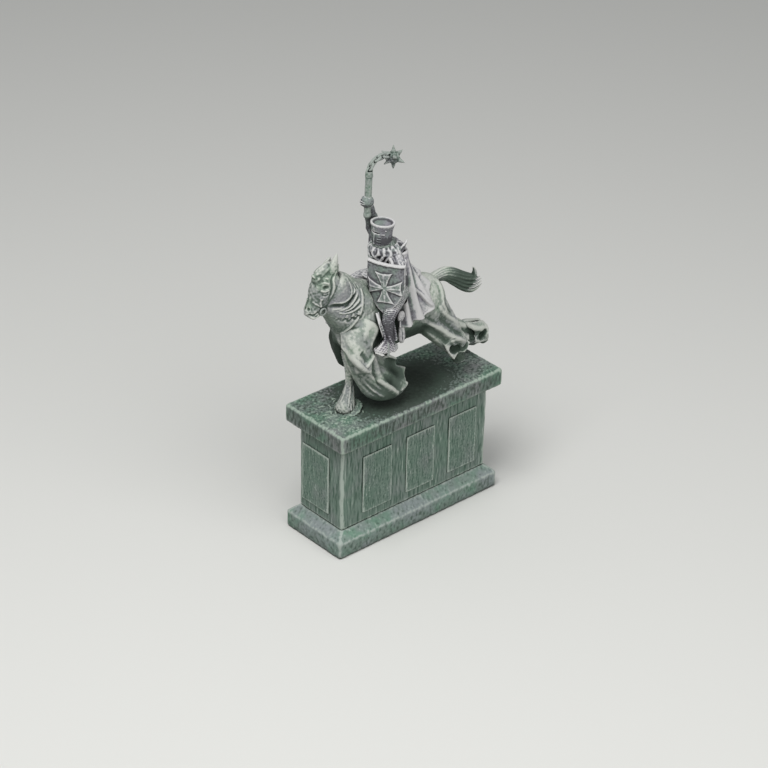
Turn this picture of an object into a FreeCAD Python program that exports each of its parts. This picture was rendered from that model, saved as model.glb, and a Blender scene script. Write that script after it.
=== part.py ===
"""Statuette of a mounted knight on a panelled plinth, as a kit of separate pieces. Millimetres, +Z up.

The row origin is the middle of the plinth's underside. +X is the way the horse faces and +Y is the rider's
left. The figure is modelled with z counted from the plinth's top and lifted onto it when it is written.
"""
import FreeCAD, Part
import math
import os

from FreeCAD import Vector as V

# ---------------------------------------------------------------- plinth
PLINTH_LENGTH = 61.2
PLINTH_WIDTH = 25.0
BASE_SLAB_HEIGHT = 5.4
BASE_WEATHERING = 2.1  # how far the base's sloped top rises from the slab's edge to the core
BASE_STEP = 0.6  # the base slab is this much narrower than the cap on each long side
CORE_HEIGHT = 27.8
CORE_END_INSET = 2.8  # from the cap's end to the core's
CORE_SIDE_INSET = 3.3  # from the cap's long side to the core's
CAP_HEIGHT = 5.5
SLAB_BEVEL = 0.35
PANEL_THICKNESS = 0.4
PANEL_EDGE = 0.12
PANEL_TOP_GAP = 5.9
PANEL_FOOT_GAP = 3.1
SIDE_PANEL_COUNT = 3
SIDE_PANEL_SPACING = 5.6  # between two neighbours
SIDE_PANEL_END_MARGIN = 7.6  # from the core's front corner to the first panel
SIDE_PANEL_REAR_MARGIN = 4.2
END_PANEL_OUTER_MARGIN = 5.4  # on the rider's left
END_PANEL_INNER_MARGIN = 1.4

# ---------------------------------------------------------------- horse
BARREL_HALF_WIDTH = 7.6
BARREL_HALF_DEPTH = 9.2
BARREL_MIDDLE_HEIGHT = 24.6
NECK_HALF_WIDTH = 5.6
HEAD_HALF_WIDTH = 3.4
EAR_LENGTH = 7.0
HOOF_RADIUS = 2.6
CLOTH_THICKNESS = 0.8

# ---------------------------------------------------------------- rider
SADDLE_HALF_WIDTH = 4.6
LEG_STAND_OFF = 1.9  # from the horse's widest side to the middle of the shin
SHOULDER_HEIGHT = 45.2
SHOULDER_HALF_WIDTH = 4.3
HELM_BASE_HEIGHT = 48.6
HELM_HEIGHT = 6.1
HELM_RADIUS = 2.85
HELM_RIM_RADIUS = 3.45
HELM_X = 6.6
EYE_SLIT_HEIGHT = 0.35
EYE_SLIT_DEPTH = 0.5
SHIELD_WIDTH = 11.0
SHIELD_HEIGHT = 15.6
SHIELD_THICKNESS = 0.9
SHIELD_TOP_HEIGHT = 46.9
SHIELD_BEND_RADIUS = 16.0
SHIELD_TURN = 26.0  # degrees from straight ahead towards the rider's left
SHIELD_X, SHIELD_Y = 12.4, 8.1
CLOAK_TRAIL = 7.6  # how much further back the cloak's hem is than its collar
CLOAK_SPREAD = 4.9  # how much wider it is on each side

# ---------------------------------------------------------------- flail
HAFT_RADIUS = 0.85
HAFT_FOOT = V(8.0, -4.4, 55.5)
HAFT_HEAD = V(6.9, -5.2, 68.1)
LINK_LENGTH = 2.6
LINK_WIDTH = 1.85
LINK_WIRE_RADIUS = 0.27
LINK_SLACK = 0.05
LINK_COUNT = 5
CHAIN_RISE = 60.0  # degrees above level at the first link
CHAIN_DROOP = 80.0  # degrees that the chain turns down from its first link to its last
EYE_RADIUS = 1.0
BALL_RADIUS = 1.75
SPIKE_LENGTH = 1.9
SPIKE_RADIUS = 0.8
SPIKE_TIP_RADIUS = 0.1

# ---------------------------------------------------------------- fastenings
HOOF_PIN_RADIUS = 0.5
HOOF_PIN_IN_PLINTH = 4.0
HOOF_PIN_IN_LEG = 5.0
JOINT_PIN_RADIUS = 0.4

CORE_FOOT = BASE_SLAB_HEIGHT + BASE_WEATHERING
CORE_LENGTH = PLINTH_LENGTH - 2 * CORE_END_INSET
CORE_WIDTH = PLINTH_WIDTH - 2 * CORE_SIDE_INSET
PLINTH_HEIGHT = CORE_FOOT + CORE_HEIGHT + CAP_HEIGHT
FORWARD, LEFT, UP = V(1, 0, 0), V(0, 1, 0), V(0, 0, 1)
SHIN_Y = BARREL_HALF_WIDTH + LEG_STAND_OFF
RING_POINTS = 12
HOOF_X, HOOF_Y = 19.6, 0.7


# ---------------------------------------------------------------- shaping helpers
def unit(vector):
    return V(vector).normalize()


def closed_curve(points):
    """A smooth closed wire through the points, with one span between each two."""
    curve = Part.BSplineCurve()
    curve.interpolate(Points=points, PeriodicFlag=True, Parameters=[float(i) for i in range(len(points) + 1)])
    return Part.Wire(curve.toShape())


def ring(centre, along, side, half_wide, half_deep):
    """An oval section across `along`: half_wide towards `side`, half_deep square to it."""
    forward = unit(along)
    wide = unit(side - forward * side.dot(forward))
    deep = forward.cross(wide)
    points = []
    for i in range(RING_POINTS):
        angle = 2 * math.pi * i / RING_POINTS
        points.append(centre + wide * (half_wide * math.cos(angle)) + deep * (half_deep * math.sin(angle)))
    return closed_curve(points)


def tube(stations, side=LEFT):
    """A smooth closed body through oval stations (x, y, z, half_wide, half_deep)."""
    centres = [V(*station[:3]) for station in stations]
    rings = []
    for i, station in enumerate(stations):
        along = centres[min(i + 1, len(centres) - 1)] - centres[max(i - 1, 0)]
        rings.append(ring(centres[i], along, side, station[3], station[4]))
    return Part.makeLoft(rings, True, False)


def sheet(rows, thickness):
    """A cloth of even thickness on the smooth surface through rows of points."""
    surface = Part.BSplineSurface()
    surface.interpolate(rows)
    return surface.toShape().makeOffsetShape(thickness, 0.01, fill=True)


def rod(start, end, radius):
    return Part.makeCylinder(radius, (end - start).Length, start, end - start)


def ellipsoid(centre, half_x, half_y, half_z):
    matrix = FreeCAD.Matrix()
    matrix.scale(V(half_x, half_y, half_z))
    return Part.makeSphere(1.0).transformGeometry(matrix).translated(centre)


def biggest(shape):
    return max(shape.Solids, key=lambda solid: solid.Volume)


def trimmed(shape, *neighbours):
    """The shape with its neighbours' room cut out, so that they meet face to face."""
    for neighbour in neighbours:
        if shape.BoundBox.intersect(neighbour.BoundBox):
            shape = shape.cut(neighbour)
    return biggest(shape)


def mirrored(shape):
    """The same piece for the rider's other side."""
    return shape.mirror(V(0, 0, 0), LEFT)


def rectangle(length, width, z):
    corners = [V(x * length / 2, y * width / 2, z) for x, y in ((-1, -1), (1, -1), (1, 1), (-1, 1))]
    return Part.makePolygon(corners + corners[:1])


def block(length, width, height, foot):
    return Part.makeBox(length, width, height, V(-length / 2, -width / 2, foot))


# ---------------------------------------------------------------- plinth
def bevelled(solid, size):
    return solid.makeChamfer(size, solid.Edges)


def plinth_base():
    """A slab with a sloped top that rises to the core's foot."""
    slab = bevelled(block(PLINTH_LENGTH, PLINTH_WIDTH - 2 * BASE_STEP, BASE_SLAB_HEIGHT, 0), SLAB_BEVEL)
    foot = rectangle(PLINTH_LENGTH - 2 * SLAB_BEVEL, PLINTH_WIDTH - 2 * BASE_STEP - 2 * SLAB_BEVEL, BASE_SLAB_HEIGHT)
    top = rectangle(CORE_LENGTH, CORE_WIDTH, CORE_FOOT)
    return slab.fuse(Part.makeLoft([foot, top], True, True)).removeSplitter()


def plinth_core():
    return block(CORE_LENGTH, CORE_WIDTH, CORE_HEIGHT, CORE_FOOT)


def plinth_cap(pin):
    slab = bevelled(block(PLINTH_LENGTH, PLINTH_WIDTH, CAP_HEIGHT, CORE_FOOT + CORE_HEIGHT), SLAB_BEVEL)
    return slab.cut(pin)


def panel(width):
    """A raised panel lying in the XZ plane, its back at y 0 and its outer edges bevelled."""
    height = CORE_HEIGHT - PANEL_TOP_GAP - PANEL_FOOT_GAP
    plate = Part.makeBox(width, PANEL_THICKNESS, height, V(-width / 2, 0, CORE_FOOT + PANEL_FOOT_GAP))
    outer = [e for e in plate.Edges if e.BoundBox.YMin > PANEL_THICKNESS / 2]
    return plate.makeChamfer(PANEL_EDGE, outer)


def side_panels():
    """The row of panels on the rider's left."""
    free = CORE_LENGTH - SIDE_PANEL_END_MARGIN - SIDE_PANEL_REAR_MARGIN
    width = (free - (SIDE_PANEL_COUNT - 1) * SIDE_PANEL_SPACING) / SIDE_PANEL_COUNT
    first = -CORE_LENGTH / 2 + SIDE_PANEL_REAR_MARGIN + width / 2
    places = [V(first + i * (width + SIDE_PANEL_SPACING), CORE_WIDTH / 2, 0) for i in range(SIDE_PANEL_COUNT)]
    return Part.makeCompound([panel(width).translated(place) for place in places])


def end_panel():
    """The panel on the end that the horse faces."""
    width = CORE_WIDTH - END_PANEL_OUTER_MARGIN - END_PANEL_INNER_MARGIN
    plate = panel(width).rotate(V(0, 0, 0), UP, -90)
    return plate.translated(V(CORE_LENGTH / 2, (END_PANEL_INNER_MARGIN - END_PANEL_OUTER_MARGIN) / 2, 0))


def ground_patch():
    """The low mound of modelled ground that the planted hoof stands in."""
    return tube(
        [
            (HOOF_X - 0.2, HOOF_Y, 0.0, 4.4, 5.2),
            (HOOF_X - 0.1, HOOF_Y, 0.35, 3.9, 4.6),
            (HOOF_X, HOOF_Y, 0.65, 2.9, 3.4),
        ]
    )


# ---------------------------------------------------------------- horse
def barrel():
    """The trunk from rump to breast, with the cloth drawn tight over it."""
    w, d, z = BARREL_HALF_WIDTH, BARREL_HALF_DEPTH, BARREL_MIDDLE_HEIGHT
    return tube(
        [
            (-15.6, 0, z + 0.4, 0.30 * w, 0.34 * d),
            (-14.0, 0, z + 0.3, 0.64 * w, 0.70 * d),
            (-9.6, 0, z, 0.92 * w, 0.94 * d),
            (-3.6, 0, z - 0.4, 0.93 * w, 0.92 * d),
            (4.0, 0, z, 0.96 * w, 1.00 * d),
            (11.0, 0, z + 1.4, 1.00 * w, 1.06 * d),
            (17.0, 0, z + 2.6, 0.86 * w, 0.96 * d),
            (21.0, 0, z + 3.4, 0.60 * w, 0.68 * d),
            (23.0, 0, z + 3.4, 0.26 * w, 0.30 * d),
        ]
    )


def half(solid, side):
    """The part of a solid on one side of the middle plane; side is 1 for the left."""
    reach = 200.0
    keep = Part.makeBox(reach, reach, reach, V(-reach / 2, 0 if side > 0 else -reach, -reach / 2))
    return biggest(solid.common(keep))


def horse_head():
    """Neck, head and ears in the cloth hood."""
    n, h = NECK_HALF_WIDTH, HEAD_HALF_WIDTH
    neck = tube(
        [
            (14.5, 0, 30.0, 1.07 * n, 8.6),
            (18.6, 0, 33.0, n, 8.1),
            (21.3, 0, 36.0, 0.87 * n, 6.9),
            (23.7, 0, 39.4, 0.75 * n, 6.0),
            (25.4, 0, 42.4, 0.58 * n, 4.2),
        ]
    )
    head = tube(
        [
            (25.4, 0, 45.9, 0.60 * h, 1.9),
            (26.2, 0, 44.3, 0.94 * h, 3.4),
            (27.4, 0, 41.6, h, 4.1),
            (28.8, 0, 39.0, 0.88 * h, 3.6),
            (30.2, 0, 37.0, 0.70 * h, 2.8),
            (31.4, 0, 35.4, 0.65 * h, 2.5),
            (32.2, 0, 34.0, 0.45 * h, 1.5),
        ]
    )
    solid = neck.fuse(head).fuse(ellipsoid(V(29.6, 0, 45.0), 1.5, 1.5, 1.7))
    for y in (0.42 * h, -0.42 * h):
        root = V(26.2, y, 44.8)
        tip = root + V(-0.34, 0, 0.94) * EAR_LENGTH
        middle = (root + tip) * 0.5
        ear = tube([(*root, 1.0, 1.2), (*middle, 1.0, 1.25), (*tip, 0.15, 0.2)])
        solid = solid.fuse(ear)
    return biggest(solid)


def horse_tail():
    """The tail streams back, deep and flat, and its end flicks up."""
    flow = tube(
        [
            (-12.6, 0, 30.6, 1.5, 1.6),
            (-16.4, 0, 31.2, 1.7, 2.0),
            (-20.8, 0, 28.4, 1.9, 3.0),
            (-25.2, 0, 24.6, 1.9, 3.7),
            (-29.0, 0, 22.8, 1.7, 3.5),
            (-31.6, 0, 23.2, 0.9, 2.0),
        ]
    )
    flick = tube([(-28.2, 0, 24.0, 1.0, 1.4), (-29.2, 0, 26.4, 0.8, 1.0), (-29.9, 0, 28.6, 0.2, 0.3)])
    return biggest(flow.fuse(flick))


def foreleg_planted():
    """The right foreleg carries the whole statuette: its hoof stands under the middle of the breast."""
    w, r = BARREL_HALF_WIDTH, HOOF_RADIUS
    return tube(
        [
            (14.6, -0.42 * w, 22.0, 2.8, 3.4),
            (16.0, -0.26 * w, 16.5, 2.3, 2.7),
            (17.0, 0, 11.5, 1.6, 1.8),
            (17.8, 0.4, 7.0, 1.2, 1.4),
            (18.5, 0.6, 4.2, 1.4, 1.6),
            (HOOF_X - 0.1, HOOF_Y, 1.8, 0.86 * r, 0.94 * r),
            (HOOF_X, HOOF_Y, 0.0, 0.96 * r, 1.06 * r),
        ]
    )


def foreleg_raised():
    """The left foreleg is folded back under the cloth."""
    w = BARREL_HALF_WIDTH
    return tube(
        [
            (15.0, 0.47 * w, 21.0, 2.6, 3.0),
            (16.6, 0.57 * w, 16.4, 1.9, 2.2),
            (16.4, 0.64 * w, 13.2, 1.5, 1.7),
            (13.6, 0.70 * w, 10.8, 1.2, 1.3),
            (10.8, 0.74 * w, 9.6, 1.2, 1.3),
            (8.6, 0.76 * w, 8.6, 1.6, 1.7),
        ]
    )


def half_pipe(stations, thickness):
    """A cloth bent round a path. A station is (x, y, z, half_wide, half_deep, near, far, rise): the cloth goes
    from `near` to `far` degrees round the path's outer side, and its far part stands `rise` times as deep."""
    centres = [V(*station[:3]) for station in stations]
    rows = []
    for i, (_, _, _, half_wide, half_deep, near, far, rise) in enumerate(stations):
        along = unit(centres[min(i + 1, len(centres) - 1)] - centres[max(i - 1, 0)])
        wide = unit(LEFT - along * LEFT.dot(along))
        deep = along.cross(wide)
        row = []
        for k in range(7):
            share = k / 6
            angle = math.radians(near + (far - near) * share)
            depth = half_deep * (1 + (rise - 1) * share)
            row.append(centres[i] + deep * (depth * math.cos(angle)) + wide * (half_wide * math.sin(angle)))
        rows.append(row)
    return sheet(rows, -thickness)


def front_drape_left():
    """The cloth falls from the breast round the raised leg and blows back into a scoop, open above."""
    w = BARREL_HALF_WIDTH
    return half_pipe(
        [
            (16.6, 0.54 * w, 24.0, 4.0, 5.0, 90, -80, 1.0),
            (16.8, 0.58 * w, 17.6, 3.5, 4.0, 95, -90, 1.0),
            (15.6, 0.66 * w, 13.0, 2.8, 3.4, 90, -115, 1.1),
            (12.4, 0.76 * w, 9.8, 2.9, 4.6, 75, -140, 1.3),
            (8.0, 0.82 * w, 8.2, 3.0, 5.0, 62, -150, 1.4),
            (3.6, 0.83 * w, 8.6, 2.4, 3.6, 62, -140, 1.3),
        ],
        CLOTH_THICKNESS,
    )


def front_drape_right():
    """The cloth on the far shoulder hangs lower and follows the flank back."""
    w = BARREL_HALF_WIDTH
    return half_pipe(
        [
            (14.6, -0.54 * w, 23.6, 3.8, 4.6, 80, -90, 1.0),
            (14.8, -0.60 * w, 18.4, 3.4, 3.9, 70, -95, 1.0),
            (13.8, -0.66 * w, 14.4, 2.8, 3.5, 60, -100, 1.0),
            (10.8, -0.74 * w, 11.8, 2.8, 3.4, 55, -110, 1.0),
            (6.8, -0.80 * w, 11.0, 2.6, 3.0, 55, -110, 1.0),
        ],
        CLOTH_THICKNESS,
    )


def hind_drape_left():
    """The cloth over the left haunch, down to its hem above the fetlock."""
    w = BARREL_HALF_WIDTH
    return tube(
        [
            (-8.0, 0.47 * w, 24.0, 4.0, 6.4),
            (-11.2, 0.60 * w, 19.0, 3.8, 5.7),
            (-14.6, 0.78 * w, 14.0, 3.2, 4.5),
            (-17.6, 0.90 * w, 9.4, 2.6, 3.6),
        ]
    )


def hind_drape_right():
    """The cloth over the right haunch, stretched back along the trailing leg."""
    w = BARREL_HALF_WIDTH
    return tube(
        [
            (-8.0, -0.47 * w, 24.0, 4.0, 6.6),
            (-12.8, -0.52 * w, 18.0, 3.8, 5.2),
            (-18.8, -0.40 * w, 12.6, 3.1, 4.0),
            (-25.2, -0.18 * w, 8.2, 2.7, 3.3),
            (-31.2, -0.02 * w, 5.4, 2.7, 3.2),
        ]
    )


def hind_hoof_left():
    w = BARREL_HALF_WIDTH
    return tube(
        [
            (-16.0, 0.88 * w, 12.0, 1.3, 1.4),
            (-17.2, 0.87 * w, 9.0, 1.3, 1.4),
            (-17.9, 0.85 * w, 7.2, 1.6, 1.7),
            (-18.6, 0.82 * w, 5.0, 2.0, 2.1),
        ]
    )


def hind_hoof_right():
    w = BARREL_HALF_WIDTH
    return tube(
        [
            (-28.6, -0.08 * w, 6.8, 1.3, 1.4),
            (-31.4, -0.02 * w, 5.2, 1.3, 1.4),
            (-32.6, 0, 4.6, 1.6, 1.7),
            (-34.6, 0, 3.6, 1.9, 2.0),
        ]
    )


def bit_rings():
    """The two rings at the ends of the bit."""
    y = 0.8 * HEAD_HALF_WIDTH
    ring_left = Part.makeTorus(0.95, 0.28, V(29.7, y, 35.9), LEFT)
    return [ring_left, mirrored(ring_left)]


# ---------------------------------------------------------------- rider
def saddle():
    """A war saddle, high before and behind, which sits astride the trunk."""
    z = BARREL_MIDDLE_HEIGHT + BARREL_HALF_DEPTH
    seat = Part.BSplineCurve()
    seat.interpolate([V(x, 0, z + rise) for x, rise in [(-3.0, 3.6), (-1.4, 1.9), (3.0, 1.0), (8.0, 2.4), (10.4, 5.6)]])
    corners = [V(10.4, 0, z + 5.6), V(12.0, 0, z + 5.6), V(12.0, 0, z - 4), V(-4.4, 0, z - 4), V(-4.4, 0, z + 3.6)]
    rest = Part.makePolygon(corners + [V(-3.0, 0, z + 3.6)])
    profile = Part.Face(Part.Wire([seat.toShape()] + rest.Edges))
    body = profile.extrude(LEFT * (2 * SADDLE_HALF_WIDTH)).translated(LEFT * -SADDLE_HALF_WIDTH)
    outline = tube([(3.8, 0, z - 5, SADDLE_HALF_WIDTH, 8.8), (3.8, 0, z + 8, SADDLE_HALF_WIDTH, 8.8)])
    return body.common(outline)


def rider_torso():
    s, z = SHOULDER_HALF_WIDTH, SHOULDER_HEIGHT
    return tube(
        [
            (0.8, 0, z - 11.4, 1.02 * s, 3.7),
            (1.2, 0, z - 8.7, 0.91 * s, 3.3),
            (2.2, 0, z - 5.8, 0.86 * s, 3.0),
            (3.4, 0, z - 2.6, 1.02 * s, 3.2),
            (4.4, 0, z + 0.2, 0.95 * s, 2.6),
            (5.0, 0, z + 2.0, 0.47 * s, 1.9),
        ]
    )


def mail_collar():
    """The skirt of mail between the helm and the shoulders."""
    s, z = SHOULDER_HALF_WIDTH, SHOULDER_HEIGHT
    return tube(
        [
            (4.6, 0, z, 0.98 * s, 3.5),
            (5.3, 0, z + 1.8, 0.84 * s, 3.3),
            (HELM_X - 0.3, 0, HELM_BASE_HEIGHT, 0.99 * HELM_RADIUS, 0.99 * HELM_RADIUS),
            (HELM_X, 0, HELM_BASE_HEIGHT + 1.4, 0.84 * HELM_RADIUS, 0.84 * HELM_RADIUS),
        ]
    )


def helm():
    """A great helm that widens to a dished, rimmed top."""
    r, rim, h = HELM_RADIUS, HELM_RIM_RADIUS, HELM_HEIGHT
    outline = [(0, 0), (0.95 * r, 0), (r, 0.24 * h), (1.03 * r, 0.6 * h), (1.1 * r, 0.76 * h), (rim, h - 0.4)]
    outline += [(rim, h), (rim - 0.5, h), (0.75 * rim, h - 0.6), (0, h - 0.9)]
    points = [V(x, 0, z) for x, z in outline]
    shell = Part.Face(Part.makePolygon(points + points[:1])).revolve(V(0, 0, 0), UP, 360)
    slit = Part.makeBox(r, 1.6 * r, EYE_SLIT_HEIGHT, V(r - EYE_SLIT_DEPTH, -0.8 * r, 0.56 * h))
    return shell.cut(slit).rotate(V(0, 0, 0), LEFT, -4).translated(V(HELM_X, 0, HELM_BASE_HEIGHT))


def rider_arm_right():
    """The raised arm: shoulder, elbow out to the side, wrist above the helm."""
    s, z = SHOULDER_HALF_WIDTH, SHOULDER_HEIGHT
    return tube(
        [
            (4.2, -0.80 * s, z - 0.8, 2.0, 2.1),
            (4.2, -1.20 * s, z + 1.4, 1.9, 1.9),
            (4.3, -1.46 * s, z + 4.2, 1.6, 1.6),
            (4.6, -1.52 * s, z + 6.4, 1.7, 1.7),
            (5.4, -1.40 * s, z + 9.2, 1.6, 1.6),
            (6.3, -1.28 * s, z + 11.8, 1.25, 1.25),
            (6.8, -1.22 * s, z + 13.4, 1.15, 1.15),
        ],
        side=FORWARD,
    )


def grip_centre():
    """Where the fist closes on the haft, a third of the way up it."""
    return HAFT_FOOT + (HAFT_HEAD - HAFT_FOOT) * 0.31


def gauntlet_right():
    centre = grip_centre()
    return ellipsoid(centre + V(0.1, -0.2, 0), 1.9, 1.8, 1.8)


def rider_arm_left():
    """The arm bent behind the shield."""
    s, z = SHOULDER_HALF_WIDTH, SHOULDER_HEIGHT
    return tube(
        [
            (4.4, 0.84 * s, z - 0.8, 2.0, 2.0),
            (5.2, 1.34 * s, z - 1.6, 1.9, 1.9),
            (6.4, 1.72 * s, z - 3.4, 1.7, 1.7),
            (8.2, 1.84 * s, z - 4.6, 1.6, 1.6),
            (10.0, 1.84 * s, z - 5.0, 1.5, 1.5),
            (12.0, 1.84 * s, z - 5.0, 1.4, 1.4),
        ],
        side=UP,
    )


def shield_place(shape):
    """Moves a shape from the shield's own frame, face towards +X and middle at the origin, to its place."""
    middle = V(SHIELD_X, SHIELD_Y, SHIELD_TOP_HEIGHT - SHIELD_HEIGHT / 2)
    return shape.rotate(V(0, 0, 0), UP, SHIELD_TURN).translated(middle)


def shield():
    """A heater shield: straight top, sides that curve in to a point, the whole bent round the arm."""
    w, h = SHIELD_WIDTH / 2, SHIELD_HEIGHT / 2
    top_left, top_right, tip = V(-8, w, h), V(-8, -w, h), V(-8, 0, -h)
    shoulder = 0.1 * h
    left_side = Part.Arc(V(-8, w, shoulder), V(-8, 0.68 * w, -0.52 * h), tip).toShape()
    right_side = Part.Arc(tip, V(-8, -0.68 * w, -0.52 * h), V(-8, -w, shoulder)).toShape()
    edges = [Part.makeLine(top_right, top_left), Part.makeLine(top_left, V(-8, w, shoulder)), left_side, right_side]
    edges.append(Part.makeLine(V(-8, -w, shoulder), top_right))
    prism = Part.Face(Part.Wire(edges)).extrude(FORWARD * 16)
    foot = V(-SHIELD_BEND_RADIUS, 0, -SHIELD_HEIGHT)
    outer = Part.makeCylinder(SHIELD_BEND_RADIUS, 2 * SHIELD_HEIGHT, foot)
    inner = Part.makeCylinder(SHIELD_BEND_RADIUS - SHIELD_THICKNESS, 2 * SHIELD_HEIGHT, foot)
    return shield_place(biggest(prism.common(outer.cut(inner))))


def cloak():
    """The cloak hangs from the shoulders, rests on the croup behind and spreads over both flanks."""
    top, flank_hem, back_hem = SHOULDER_HEIGHT + 0.6, 26.2, 33.9
    rows = []
    for i in range(6):
        fall = i / 5
        trail = 3.1 + CLOAK_TRAIL * fall**2.4
        reach = 4.4 + CLOAK_SPREAD * fall**1.2
        row = []
        for k in range(13):
            angle = math.radians(-108 + 18 * k)
            flank = 1 - math.cos(angle) ** 4
            z = top + (back_hem + (flank_hem - back_hem) * flank - top) * fall
            back = math.cos(angle) * (1 + 0.4 * math.sin(angle) ** 2)
            out = math.sin(angle) * (1 + 0.2 * math.cos(angle) ** 2)
            row.append(V(3.4 - trail * back, reach * out, z))
        rows.append(row)
    return sheet(rows, -CLOTH_THICKNESS)


def rider_leg_left():
    """Thigh, shin and mailed foot, the toe pointing ahead."""
    y = SHIN_Y
    leg = tube(
        [
            (1.8, 0.42 * y, 35.4, 2.4, 2.6),
            (5.4, 0.68 * y, 34.6, 2.3, 2.5),
            (9.4, 0.90 * y, 33.0, 2.0, 2.2),
            (11.8, 0.98 * y, 30.0, 1.7, 1.8),
            (12.0, y, 26.2, 1.4, 1.6),
            (11.2, y, 22.0, 1.2, 1.3),
        ]
    )
    foot = tube(
        [
            (8.8, y, 20.2, 0.8, 0.9),
            (10.2, y, 20.9, 1.3, 1.4),
            (12.4, y, 21.7, 1.3, 1.4),
            (14.8, y, 22.0, 1.05, 0.9),
            (17.0, y, 22.4, 0.3, 0.35),
        ]
    )
    return biggest(leg.fuse(foot))


def stirrup_left():
    """An arched loop round the foot, with a flat tread."""
    y, x = SHIN_Y, 13.2
    corners = [V(x, y - 1.7, 19.9), V(x, y + 1.7, 19.9), V(x, y + 1.5, 23.2), V(x, y, 25.6), V(x, y - 1.5, 23.2)]
    solid = None
    for start, end in zip(corners, corners[1:] + corners[:1]):
        bar = rod(start, end, 0.38).fuse(Part.makeSphere(0.38, start))
        solid = bar if solid is None else solid.fuse(bar)
    return solid


def stirrup_leather_left():
    y = SHIN_Y
    stations = [(13.3, y, 25.2, 0.6, 0.3), (14.1, y - 0.4, 28.2, 0.6, 0.3), (14.0, y - 2.4, 32.0, 0.6, 0.3)]
    return tube(stations, side=FORWARD)


def sword_scabbard():
    """A short studded scabbard at the left hip, with its frog above."""
    y = SHIN_Y - 0.5
    sheath = tube(
        [(6.2, y, 20.6, 0.6, 0.4), (6.3, y, 21.4, 1.0, 0.6), (6.6, y, 25.0, 1.0, 0.65), (6.9, y, 28.4, 1.0, 0.65)],
        side=FORWARD,
    )
    return biggest(sheath.fuse(ellipsoid(V(6.9, y, 29.2), 1.35, 0.8, 1.7)))


# ---------------------------------------------------------------- flail
def flail_haft():
    shaft = rod(HAFT_FOOT, HAFT_HEAD, HAFT_RADIUS)
    along = unit(HAFT_HEAD - HAFT_FOOT)
    ferrule = rod(HAFT_HEAD - along * 1.6, HAFT_HEAD, 1.2 * HAFT_RADIUS)
    knob = Part.makeSphere(1.3 * HAFT_RADIUS, HAFT_FOOT)
    return shaft.fuse(ferrule).fuse(knob).fuse(eye(HAFT_HEAD, LEFT))


def link(centre, along, turn):
    """One oval chain link: two straights and two half rings, turned about its length."""
    radius = LINK_WIDTH / 2 - LINK_WIRE_RADIUS
    straight = LINK_LENGTH - LINK_WIDTH
    body = None
    for end in (1, -1):
        bow = Part.makeTorus(radius, LINK_WIRE_RADIUS, V(0, 0, 0), UP, 0, 360, 180)
        bow = bow.rotate(V(0, 0, 0), UP, -90 if end > 0 else 90).translated(V(end * straight / 2, 0, 0))
        side = rod(V(-straight / 2, end * radius, 0), V(straight / 2, end * radius, 0), LINK_WIRE_RADIUS)
        body = bow.fuse(side) if body is None else body.fuse(bow).fuse(side)
    body = body.rotate(V(0, 0, 0), FORWARD, turn)
    level = math.degrees(math.atan2(along.z, along.x))
    return body.rotate(V(0, 0, 0), LEFT, -level).translated(centre)


def eye(centre, plane_normal):
    """A ring that a link hangs in; half of it is sunk in what it belongs to."""
    return Part.makeTorus(EYE_RADIUS, LINK_WIRE_RADIUS, centre, plane_normal)


def chain_run():
    """The middle and direction of each link, and the middle of the wire at the chain's far end."""
    half_length = LINK_LENGTH / 2 - LINK_WIRE_RADIUS
    back_step = 2 * LINK_WIRE_RADIUS + LINK_SLACK
    near_end, run = HAFT_HEAD + UP * (EYE_RADIUS - back_step), []
    for i in range(LINK_COUNT):
        rise = math.radians(CHAIN_RISE - CHAIN_DROOP * i / (LINK_COUNT - 1))
        along = V(-math.cos(rise), 0, math.sin(rise))
        run.append((near_end + along * half_length, along))
        near_end = near_end + along * (2 * half_length - back_step)
    return run, near_end + along * back_step


def flail_chain():
    run, _ = chain_run()
    return [link(place, along, 90 * (i % 2)) for i, (place, along) in enumerate(run)]


def flail_ball():
    """A ball with an eye for the last link and eight spikes: up, down, and two rings of three."""
    run, end = chain_run()
    along = run[-1][1]
    last_lies_flat = LINK_COUNT % 2 == 1
    eye_centre = end + along * (EYE_RADIUS - 2 * LINK_WIRE_RADIUS - LINK_SLACK)
    centre = eye_centre + along * (BALL_RADIUS + LINK_SLACK)
    ring_normal = LEFT if last_lies_flat else along.cross(LEFT)
    solid = Part.makeSphere(BALL_RADIUS, centre).fuse(eye(eye_centre, ring_normal))
    directions = [UP, UP * -1]
    for i in range(3):
        for lift, start in ((0.36, 60), (-0.36, 120)):
            angle = math.radians(start + 120 * i)
            directions.append(V(math.cos(angle), math.sin(angle), lift))
    for direction in directions:
        outward = unit(direction)
        root = centre + outward * (0.8 * BALL_RADIUS)
        length = 0.2 * BALL_RADIUS + SPIKE_LENGTH
        solid = solid.fuse(Part.makeCone(SPIKE_RADIUS, SPIKE_TIP_RADIUS, length, root, outward))
    return solid


# ---------------------------------------------------------------- fastenings
def hoof_pin():
    """The wire that carries the figure, from the cap up into the planted leg."""
    return rod(V(HOOF_X - 0.1, HOOF_Y, -HOOF_PIN_IN_PLINTH), V(18.4, 0.6, HOOF_PIN_IN_LEG), HOOF_PIN_RADIUS)


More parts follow.
